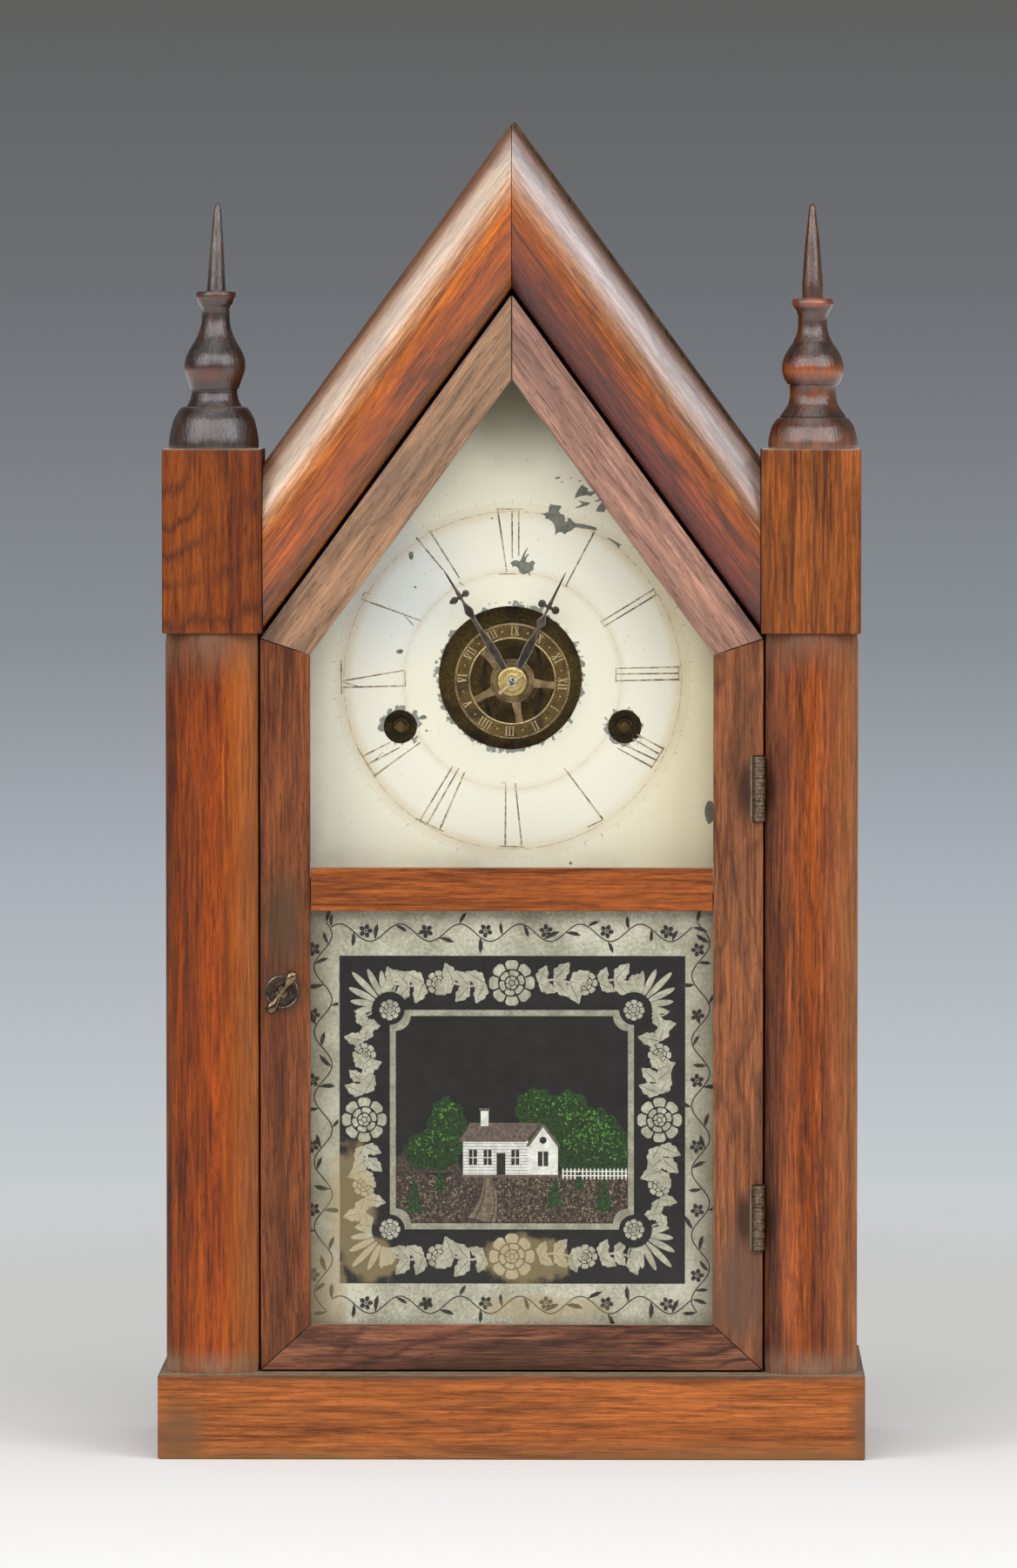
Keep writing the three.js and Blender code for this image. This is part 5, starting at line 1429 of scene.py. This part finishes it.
paints = {
    "silver": paintFinish("silvered_ground", "#918e79", "#b1af99", "#cfcdb9", 16, 1.2, 1, "#b39f78", 0.55,
                          "#746c54"),
    "black": paintFinish("black_ground", "#130f0d", "#1a1613", "#241f1b", 6, 1.0, 2, "#83734f", 0.85),
    "spray": paintFinish("silvered_leaf", "#918e7a", "#aba893", "#c4c2ad", 5, 0.9, 3, "#b3a27c", 0.75),
    "line": paintFinish("black_line", "#1e1a16", "#2c2721", "#403a32", 3, 0.8, 4, "#85754f", 0.5),
    "green": paintFinish("painted_leaves", "#11200a", "#1f3611", "#35571c", 1.1, 0.55, 5),
    "fir": paintFinish("painted_shrubs", "#0e1d09", "#1f3a15", "#3b6226", 0.9, 0.5, 6),
    "white": paintFinish("painted_walls", "#c6c6bb", "#dcdcd2", "#edede5", 3, 0.8, 7),
    "earth": paintFinish("painted_ground", "#211a14", "#3b3025", "#66574a", 1.6, 0.5, 8),
    "path": paintFinish("painted_path", "#564a3c", "#6f604f", "#8b7b65", 2.0, 0.7, 9),
    "hill": paintFinish("painted_hills", "#2c241d", "#41362c", "#5f5144", 1.4, 0.6, 10),
    "roof": paintFinish("painted_roof", "#4a3f38", "#63554b", "#7d6e62", 1.4, 0.5, 11),
    "frame": paintFinish("silvered_line", "#7f7c6b", "#979481", "#aeab97", 5, 0.9, 15, "#9b8d68", 0.6),
    "leafLight": paintFinish("leaf_dabs_light", "#35621c", "#4f862c", "#79ad4b", 2.0, 0.8, 12),
    "leafDark": paintFinish("leaf_dabs_dark", "#0c1806", "#182b0c", "#274216", 2.0, 0.8, 13),
    "stubble": paintFinish("ground_dabs", "#6d5d49", "#94836a", "#b5a487", 2.0, 0.8, 14),
}
paintOrder = list(paints)


def notched(half, low, high, notch):
    loop, steps = [], 8
    for cx, cz, start in ((half, low, 180), (half, high, 270), (-half, high, 0), (-half, low, 90)):
        for k in range(steps + 1):
            a = math.radians(start - 90 * k / steps)
            loop.append((cx + notch * math.cos(a), cz + notch * math.sin(a)))
    return loop


def moved(loop, x, z, turn):
    c, s = math.cos(turn), math.sin(turn)
    return [(x + u * c - v * s, z + u * s + v * c) for u, v in loop]


# half of a leaf along +u with a lobed edge; the two halves leave the vein between them
def halfLeaf(length, width, side):
    lobes, vein, steps = 3, 0.13, 24
    edge = []
    for k in range(1, steps):
        t = k / steps
        swell = math.sin(math.pi * t ** 0.8) * (1 - 0.22 * abs(math.sin(math.pi * lobes * t)) ** 3)
        edge.append((length * t, side * (vein + width * swell)))
    loop = [(0, side * vein), *edge, (length, side * vein * 0.4)]
    return loop if side > 0 else list(reversed(loop))


def rosette(x, z, radius):
    shapes = []
    for r0, r1, count, shift in ((0.60, 1.0, 8, 0.0), (0.33, 0.56, 6, 0.3), (0.14, 0.29, 5, 0.1)):
        share = math.pi / count * 0.86
        inside = [share * (2 * j / 8 - 1) for j in range(9)]
        loop = [(radius * r0 * math.cos(a), radius * r0 * math.sin(a)) for a in inside]
        for j in range(17):
            a = share * (1 - 2 * j / 16)
            sag = (r1 - r0) * 0.35 * (abs(a) / share) ** 3 + 0.03 * (1 - abs(math.cos(math.pi * j / 16)))
            loop.append((radius * (r1 - sag) * math.cos(a), radius * (r1 - sag) * math.sin(a)))
        shapes += [moved(loop, x, z, shift + 2 * math.pi * k / count) for k in range(count)]
    return shapes + [circle(radius * 0.1, 16, (x, z))]


# a fan of blades and two curls that fills a corner of the band
def cornerFan(x, z, turn):
    shapes = []
    for k, reach in enumerate((11.5, 13.0, 15.0, 17.4, 15.0, 13.0, 11.5)):
        blade = [(3.4, -0.28), (reach * 0.55, -1.15), (reach * 0.86, -0.9), (reach, 0), (reach * 0.86, 0.9),
                 (reach * 0.55, 1.15), (3.4, 0.28)]
        shapes.append(moved(curved(blade, 4, True), x, z, turn + math.radians(-57 + 19 * k)))
    shapes.append(circle(2.4, 24, (x, z)))
    for side in (-1, 1):
        spine = [(1.5 + 2.0 * t + 1.6 * math.cos(3.4 * t), side * (3.1 + 3.4 * t - 1.3 * math.sin(3.4 * t)))
                 for t in (k / 24 * 1.9 for k in range(25))]
        shapes.append(moved(ribbonLoop(spine, 0.95, 0.2), x, z, turn))
    return shapes


# the outline of a strip along a line, narrowing to its end
def ribbonLoop(spine, wide, narrow):
    left, right, n = [], [], len(spine)
    for i, (x, z) in enumerate(spine):
        a, b = spine[max(i - 1, 0)], spine[min(i + 1, n - 1)]
        dx, dz = b[0] - a[0], b[1] - a[1]
        long = math.hypot(dx, dz) or 1.0
        half = (wide + (narrow - wide) * i / (n - 1)) / 2
        left.append((x - dz / long * half, z + dx / long * half))
        right.append((x + dz / long * half, z - dx / long * half))
    return left + list(reversed(right))


# the outline of a mass of leaves
def cloudLoop(x, z, wide, tall, seed):
    loop = []
    for u, v in circle(1, 72):
        a = math.atan2(v, u) % (2 * math.pi)
        lobes = 0.16 * abs(math.sin(4.5 * a + seed))
        r = 1 + lobes + 0.12 * noise.noise(Vector((u * 1.3, v * 1.3, seed * 3.7)))
        loop.append((x + wide * r * u, z + tall * r * v))
    return loop


treeMasses = [(20, 124, 8.5, 9.5), (31, 119, 7.5, 9.0), (9, 127, 7.0, 8.0), (-24, 121, 6.5, 9.5),
              (38, 113, 5.5, 7.5), (25, 112, 9, 7), (-33, 112, 6.0, 6.0), (12, 115, 6, 8),
              (22, 117, 15, 9.5), (36, 109, 8, 6), (-27, 113, 8, 7)]


# where the house hides the trees
def behindHouse(x, z):
    return (-20.5 < x < 18.5 and z < 124) or (-13 < x < -7 and z < 129)


def landscape():
    art = []  # material, level above the ground coat, outline
    half, low, high = 42.8, 85.4, 162.1
    ridgeLine = [(2 * k - half, 109 + 3.5 * math.sin(k * 0.31) + 1.6 * math.sin(k * 0.83)) for k in range(15)]
    art.append(("hill", 2, [(-half, 104), *ridgeLine, (-14, 104)]))
    meadowLine = [(half - 2 * k, 104.6 + 0.9 * math.sin(k * 0.5) - 0.02 * k) for k in range(44)]
    art.append(("earth", 3, [(-half, low), (half, low), *meadowLine]))
    path = [(-9 + 3.2 * math.sin(t * 2.2) - 5 * t, 103.5 - 18.2 * t) for t in (k / 14 for k in range(15))]
    art.append(("path", 4, ribbonLoop(path, 2.2, 10.5)))
    for shift in (-0.33, 0.33):
        side = [(x + shift * (2.2 + 8.3 * k / 14), z) for k, (x, z) in enumerate(path)]
        art.append(("hill", 5, ribbonLoop(side, 0.15, 0.6)))
    for k, (x, z, wide, tall) in enumerate(treeMasses):
        art.append(("green", 4 + 0.2 * k, cloudLoop(x, z, wide, tall, k + 1)))
    wall = rectangle(-18, 103, 6, 116)
    gable = [(6, 103), (17, 103), (17, 114.5), (11.5, 121.5), (6, 114.5)]
    art += [("white", 7, wall), ("white", 7, gable),
            ("roof", 8, [(-19.5, 115.6), (5.2, 115.6), (10.9, 122.6), (-15.5, 122.6)]),
            ("roof", 8, [(5.2, 114.2), (11.5, 122.6), (17.9, 114.2), (16.9, 113.7), (11.5, 121.0),
                         (6.2, 113.7)]),
            ("white", 9, rectangle(-11.5, 121.4, -8.6, 127.2)),
            ("roof", 10, rectangle(-12.0, 127.0, -8.1, 128.0)),
            ("roof", 8, rectangle(-18.4, 102.3, 17.4, 103.4))]
    for x in (-15.8, -10.4, -0.2):
        art.append(("line", 9, rectangle(x, 107.0, x + 2.9, 112.6)))
        art.append(("white", 10, rectangle(x + 1.3, 107.0, x + 1.6, 112.6)))
        art.append(("white", 10, rectangle(x, 109.6, x + 2.9, 109.95)))
    art += [("line", 9, rectangle(-5.6, 103.4, -2.4, 111.4)), ("line", 9, circle(1.3, 20, (11.5, 116.2))),
            ("line", 9, rectangle(9.6, 106.6, 13.4, 112.0)),
            ("white", 10, rectangle(11.3, 106.6, 11.7, 112.0))]
    for k in range(11):
        art.append(("line", 9, rectangle(-18, 103.9 + k * 1.1, 6, 104.02 + k * 1.1)))
    for k in range(17):  # fence
        x = 18.6 + 1.45 * k
        art.append(("white", 8, [(x, 101.8), (x + 0.55, 101.8), (x + 0.55, 105.4), (x + 0.28, 106.0),
                                 (x, 105.4)]))
    art += [("white", 9, rectangle(18.4, 102.9, 42.6, 103.3)),
            ("white", 9, rectangle(18.4, 104.5, 42.6, 104.9))]
    for x, z, size in ((-36, 90, 1.15), (-26.5, 97.5, 0.8), (16, 92.5, 1.0), (34, 90.5, 1.2), (25, 98, 0.7)):
        for k in range(5):
            w = size * (3.4 - 0.6 * k)
            foot = z + size * 1.9 * k
            art.append(("fir", 8 + 0.15 * k, [(x - w, foot), (x, foot - 0.7 * size), (x + w, foot),
                                              (x, foot + 2.9 * size)]))
        art.append(("hill", 7.5, rectangle(x - 0.3 * size, z - 1.9 * size, x + 0.3 * size, z + 0.2)))
    return [(name, level, [clipped(loop, half, low, high)]) for name, level, loop in art]


# keeps an outline inside the window
def clipped(loop, half, low, high):
    return [(min(max(x, -half), half), min(max(z, low), high)) for x, z in loop]


# a line that waves to both sides of a straight one
def wavePath(x0, z0, x1, z1, height, waves, phase=0.0, steps=90):
    dx, dz = x1 - x0, z1 - z0
    long = math.hypot(dx, dz)
    points = []
    for k in range(steps + 1):
        t = k / steps
        off = height * math.sin(2 * math.pi * waves * t + phase)
        points.append((x0 + dx * t - dz / long * off, z0 + dz * t + dx / long * off))
    return points


def pathMesh(name, paths):
    points, edges = [], []
    for path in paths:
        start = len(points)
        points += [(x * mm, z * mm, 0) for x, z in path]
        edges += [(start + i, start + i + 1) for i in range(len(path) - 1)]
    mesh = bpy.data.meshes.new(name)
    mesh.from_pydata(points, edges, [])
    return mesh


# turns a flat growth (x, up, towards the viewer) into the plane of the painting
def laidOnGlass(mesh, level, thin):
    mesh.transform(Matrix.Diagonal((1, 1, thin, 1)))
    mesh.transform(Matrix.Rotation(math.radians(90), 4, "X"))
    mesh.transform(Matrix.Translation((0, (tablet["back"] - tablet["step"] * level) * mm, 0)))
    return mesh


def flatShape(name, loops):
    parts = [plate([loop], -0.02, 0.02) for loop in loops]
    laid = [([(x, z, y) for x, y, z in points], faces) for points, faces in parts]
    return inScene(name, meshOf(name, together(laid)))


# puts a growth on the tablet as a piece of its own
def paintOn(name, mesh, paint, level, thin):
    register(name, laidOnGlass(mesh, level, thin), paints[paint], "door", None)


# band and window sides as half width, foot and top, and the lines in the middle between them
bandHalf, bandLow, bandHigh = tablet["band"]
winHalf, winLow, winHigh = tablet["window"]
midX, midLow, midHigh = (bandHalf + winHalf) / 2, (bandLow + winLow) / 2, (bandHigh + winHigh) / 2
middle = (bandLow + bandHigh) / 2


# every coat is a paint, its level above the glass and its outlines
def tabletCoats():
    t = tablet
    line, notch = t["line"], t["notch"]
    coats = [("silver", 1, [rectangle(-t["half"], t["low"], t["half"], t["high"])]),
             ("black", 2, [rectangle(-bandHalf, bandLow, bandHalf, bandHigh)])]
    for x, z in ((-winHalf, winLow), (winHalf, winLow), (winHalf, winHigh), (-winHalf, winHigh)):
        coats.append(("black", 13, [circle(notch + 1.2, 40, (x, z))]))
        coats += [("spray", 14, [loop]) for loop in rosette(x, z, 3.9)]
    coats.append(("frame", 14, [notched(winHalf, winLow, winHigh, notch),
                                notched(winHalf - line, winLow + line, winHigh - line, notch)]))
    coats.append(("spray", 4, [rectangle(-bandHalf - 0.1, bandLow, -bandHalf + 0.35, bandHigh)]))
    roses = [(0, midHigh, 8.6), (0, midLow, 8.6), (-midX, middle, 8.4), (midX, middle, 8.4)]
    roses += [(x, z, 4.6) for z in (midHigh, midLow) for x in (-27, 27)]
    roses += [(x, middle + dz, 4.4) for dz in (24, -24) for x in (-midX, midX)]
    for rose in roses:
        coats += [("spray", 4, [loop]) for loop in rosette(*rose)]
    for sx in (-1, 1):
        for z, sz in ((winHigh, 1), (winLow, -1)):
            fan = cornerFan(sx * (winHalf + 1.6), z + sz * 1.6, math.atan2(sz, sx))
            coats += [("spray", 4 + 0.1 * k, [loop]) for k, loop in enumerate(fan)]
    return coats + [(name, level + 1, loops) for name, level, loops in landscape()]


# leaf sprays in the black band
def addBandSprays():
    leaf = flatShape("band_leaf", [halfLeaf(8.8, 2.9, 1), halfLeaf(8.8, 2.9, -1)])
    runs = []
    for sx in (-1, 1):
        for z in (midHigh, midLow):
            runs.append(wavePath(sx * 10.0, z, sx * 21.5, z, 1.2, 0.5))
            runs.append(wavePath(sx * 32.5, z, sx * 43.5, z, 1.2, 0.5))
        for z0, z1 in ((9.8, 18.8), (29.2, 34.5)):
            for sz in (-1, 1):
                runs.append(wavePath(sx * midX, middle + sz * z0, sx * midX, middle + sz * z1, 1.0, 0.5))
    mesh = stems.grow("band_sprays", pathMesh("band_run", runs), Stem=0.00042, Spacing=0.0046, Leaf=leaf,
                      Lean=0.85, Reach=0.82, Uneven=0.14, Pairs=1, Seed=3, Material=paints["spray"])
    paintOn("band_sprays", mesh, "spray", 5, 0.1)
    bpy.data.objects.remove(leaf)


# vines on the silvered field, with a bloom in each of their bends
def addFieldSprays():
    bud = flatShape("field_leaf", [[(0, 0), (1.2, 0.62), (2.6, 0.72), (3.8, 0.1), (2.5, -0.3), (1.1, -0.22)]])
    runs = [wavePath(sx * 69.6, 52.5, sx * 69.6, 196.5, 3.3, 6.0, 0.4 * sx, 220) for sx in (-1, 1)]
    runs += [wavePath(-66.5, z, 66.5, z, 3.2, 6.0, 0.7, 220) for z in (55.2, 192.8)]
    mesh = stems.grow("field_sprays", pathMesh("field_run", runs), Stem=0.00022, Spacing=0.0088, Leaf=bud,
                      Lean=0.95, Reach=1.5, Uneven=0.25, Pairs=0, Seed=8, Material=paints["line"])
    paintOn("field_sprays", mesh, "line", 2, 0.2)
    petal = [(0.45, -0.35), (1.1, -0.62), (1.75, -0.3), (1.75, 0.3), (1.1, 0.62), (0.45, 0.35)]
    bloom = flatShape("field_bloom", [moved(petal, 0, 0,
                                            2 * math.pi * k / 5) for k in range(5)] + [circle(0.3, 10)])
    rows = []
    for run, at in [(run, at) for run in runs for at in (18, 55, 91, 128, 165, 202)]:
        (x, z), (nextX, nextZ) = run[at:at + 2]
        long = math.hypot(nextX - x, nextZ - z)
        side = 3.1 if (at // 18) % 2 else -3.1
        place = (x - (nextZ - z) / long * side, z + (nextX - x) / long * side, 0)
        rows.append((place, (0, 0, 1), at * 0.7))
    paintOn("field_blooms", scattered("field_blooms", bloom, rows, 1.45, paints["line"]), "line", 2, 1.0)
    for shape in (bud, bloom):
        bpy.data.objects.remove(shape)


# brush dabs: leaves on the trees and stubble on the ground
def addDabs():
    rng = random.Random(5)
    dab = flatShape("brush_dab", [[(-0.55, -0.05), (-0.1, -0.26), (0.6, 0.0), (0.05, 0.25)]])
    rows = {"leafDark": [], "leafLight": [], "stubble": []}
    for x, z, wide, tall in treeMasses:
        for n in range(int(wide * tall * 1.5)):
            a, r = rng.uniform(0, 2 * math.pi), 0.97 * math.sqrt(rng.random())
            dabX, dabZ = x + wide * r * math.cos(a), z + tall * r * math.sin(a)
            paint = "leafLight" if rng.random() < 0.3 + 0.5 * (dabZ - z) / tall else "leafDark"
            if not behindHouse(dabX, dabZ) and abs(dabX) < 42.2 and dabZ > 106:
                rows[paint].append(((dabX, dabZ, rng.uniform(0, 1e-2)), (0, 0, 1), rng.uniform(0, 6.3)))
    for n in range(900):
        x, z = rng.uniform(-42.2, 42.2), rng.uniform(86, 103)
        if abs(x + 9 + 0.27 * (103.5 - z)) > 1.5 + 0.25 * (103.5 - z):  # beside the path
            lean = 1.5 if n % 3 else 0
            rows["stubble"].append(((x, z, rng.uniform(0, 1e-2)), (0, 0, 1), rng.uniform(-0.5, 0.5) + lean))
    for paint, level, size in (("leafDark", 7.35, 1.25), ("leafLight", 7.6, 1.1), ("stubble", 5.2, 0.8)):
        name = f"{paint}_dabs"
        paintOn(name, scattered(name, dab, rows[paint], size, paints[paint]), paint, level, 0.5)
    bpy.data.objects.remove(dab)


def addTablet():
    t = tablet
    parts = [(*plate(loops, t["back"] - t["step"] * level, t["back"]), paintOrder.index(name))
             for name, level, loops in tabletCoats()]
    addPiece("tablet_painting", together(parts), [paints[name] for name in paintOrder], "door", None)
    addBandSprays()
    addFieldSprays()
    addDabs()
    pane = plate([rectangle(-t["half"], t["low"], t["half"], t["high"])], -36, -34.7)
    addPiece("tablet_pane", pane, finishes["glass"], "door", "lower_tablet")


addTablet()
print("tablet made")


# Springs that follow a spiral

springShapes = {  # centre in mm, lengths in m as the tree takes them
    "time_spring_coil": ("time_mainspring", (41.5, 12.5, 268.0), 9.0, 0.0048, 0.0175, 0.00028, 0.0094, 4, 36),
    "strike_spring_coil": ("strike_mainspring", (-41.5, 12.5, 268.0), 9.0, 0.0048, 0.0175, 0.00028, 0.0094,
                           4, 36),
    "gong_coil": ("gong", (0, 35, 105), 3.25, 0.0066, 0.034, 0.0011, 0.0011, 12, 48),
}


def addSprings():
    for name, (node, centre, turns, first, last, wide, deep, corners, steps) in springShapes.items():
        mesh = springs.grow(name, bpy.data.meshes.new("start"), Turns=turns, First=first, Last=last,
                            Wide=wide, Deep=deep, Corners=corners, Steps=steps, Material=finishes["steel"])
        mesh.transform(Matrix.Translation(Vector(centre) * mm) @ Matrix.Rotation(math.radians(90), 4, "X"))
        register(name, mesh, finishes["steel"], "case", node)


addSprings()
print("springs made")


# Solids whose shape is right keep their mesh and get their finish

for names, finish in (
    (("rear_plate", "centre_arbor", "time_main_wheel", "strike_main_wheel", "escape_wheel", "alarm_works",
      "pendulum_bob"), "brassPlate"),
    (("front_plate",), "plateShade"), (("upper_hinge_pin", "lower_hinge_pin"), "steel"),
    (("gong_base", "strike_hammer", "alarm_hammer", "verge", "pendulum_rod"), "iron"),
):
    for name in names:
        for socket in nodes[name].material_slots:
            socket.material = finishes[finish]
print("movement finished")


# Camera, lamps and floor

camera = {"lens": 211.12, "place": (0.049, -3.4125, 0.420), "turn": (87.08, 0, 0.852)}  # mm, m and degrees
studio = {
    "lamps": [  # direction (azimuth, elevation), distance and size in m, power in W
        ("key_left", (-46, 28), 1.8, 1.1, 11.6), ("key_right", (46, 28), 1.8, 1.1, 12.3),
        ("front", (0, 32), 1.8, 1.1, 9.0), ("top", (0, 80), 1.6, 1.2, 6.2),
    ],
    "aim": (0, 0, 0.24), "ambient": 0.29, "floor": "#f4f4f3", "floorRadius": 1.15,
    "sky": [(-0.130, "#f1f1f0"), (-0.105, "#dcdfe0"), (-0.093, "#c6cbce"), (-0.060, "#a9afb6"),
            (-0.036, "#8b9096"),
            (0.0, "#6f7276"), (0.035, "#5f5f5e")],  # height of the view direction and the colour seen there
}


def addCamera():
    lens = bpy.data.cameras.new("camera")
    lens.lens = camera["lens"]
    lens.sensor_width = 36
    lens.sensor_fit = "AUTO"
    lens.clip_start, lens.clip_end = 0.1, 30
    view = inScene("camera", lens)
    view.location = camera["place"]
    view.rotation_euler = [math.radians(a) for a in camera["turn"]]
    bpy.context.scene.camera = view
    bpy.context.scene.view_settings.view_transform = "Standard"


def addLamps():
    for name, (azimuth, elevation), distance, size, power in studio["lamps"]:
        lamp = bpy.data.lights.new(name, "AREA")
        lamp.shape, lamp.size, lamp.energy = "SQUARE", size, power
        post = inScene(name, lamp)
        a, e = math.radians(azimuth), math.radians(elevation)
        out = Vector((math.sin(a) * math.cos(e), -math.cos(a) * math.cos(e), math.sin(e)))
        post.location = Vector(studio["aim"]) + out * distance
        post.rotation_euler = out.to_track_quat("Z", "Y").to_euler()


# an even light on everything, and the sky's greys for the camera, mirrors and glass
def paintWorld():
    world = bpy.data.worlds.new("studio")
    f = Finish(world)
    low, high = studio["sky"][0][0], studio["sky"][-1][0]
    height = f.level(f.part(f.add("TexCoord", output="Generated"), "Z"), low, high, form="LINEAR")
    greys = f.ramp(height, *[((at - low) / (high - low), grey) for at, grey in studio["sky"]])
    seen = f.add("LightPath", output="Is Camera Ray")
    for other in ("Is Glossy Ray", "Is Transmission Ray"):
        seen = f.calc("MAXIMUM", seen, f.add("LightPath", output=other))
    fill = f.add("Background", {0: "#ffffff", 1: studio["ambient"]})
    f.close(f.add("MixShader", {0: seen, 1: fill, 2: f.add("Background", {0: greys})}), "World")
    bpy.context.scene.world = world


def addFloor():
    f, radius = newFinish("studio_floor"), studio["floorRadius"]
    fade = f.level(f.length(f.coords), radius * 0.45, radius * 0.98)
    paper = f.add("BsdfDiffuse", {"Color": studio["floor"]})
    mesh = bpy.data.meshes.new("studio_floor")
    mesh.from_pydata([(x, y, 0) for x, y in circle(radius, 96)], [], [list(range(96))])
    mesh.materials.append(f.close(f.add("MixShader", {0: fade, 1: paper, 2: f.add("BsdfTransparent")})))
    inScene("studio_floor", mesh)


addCamera()
addLamps()
paintWorld()
addFloor()
print("studio made")
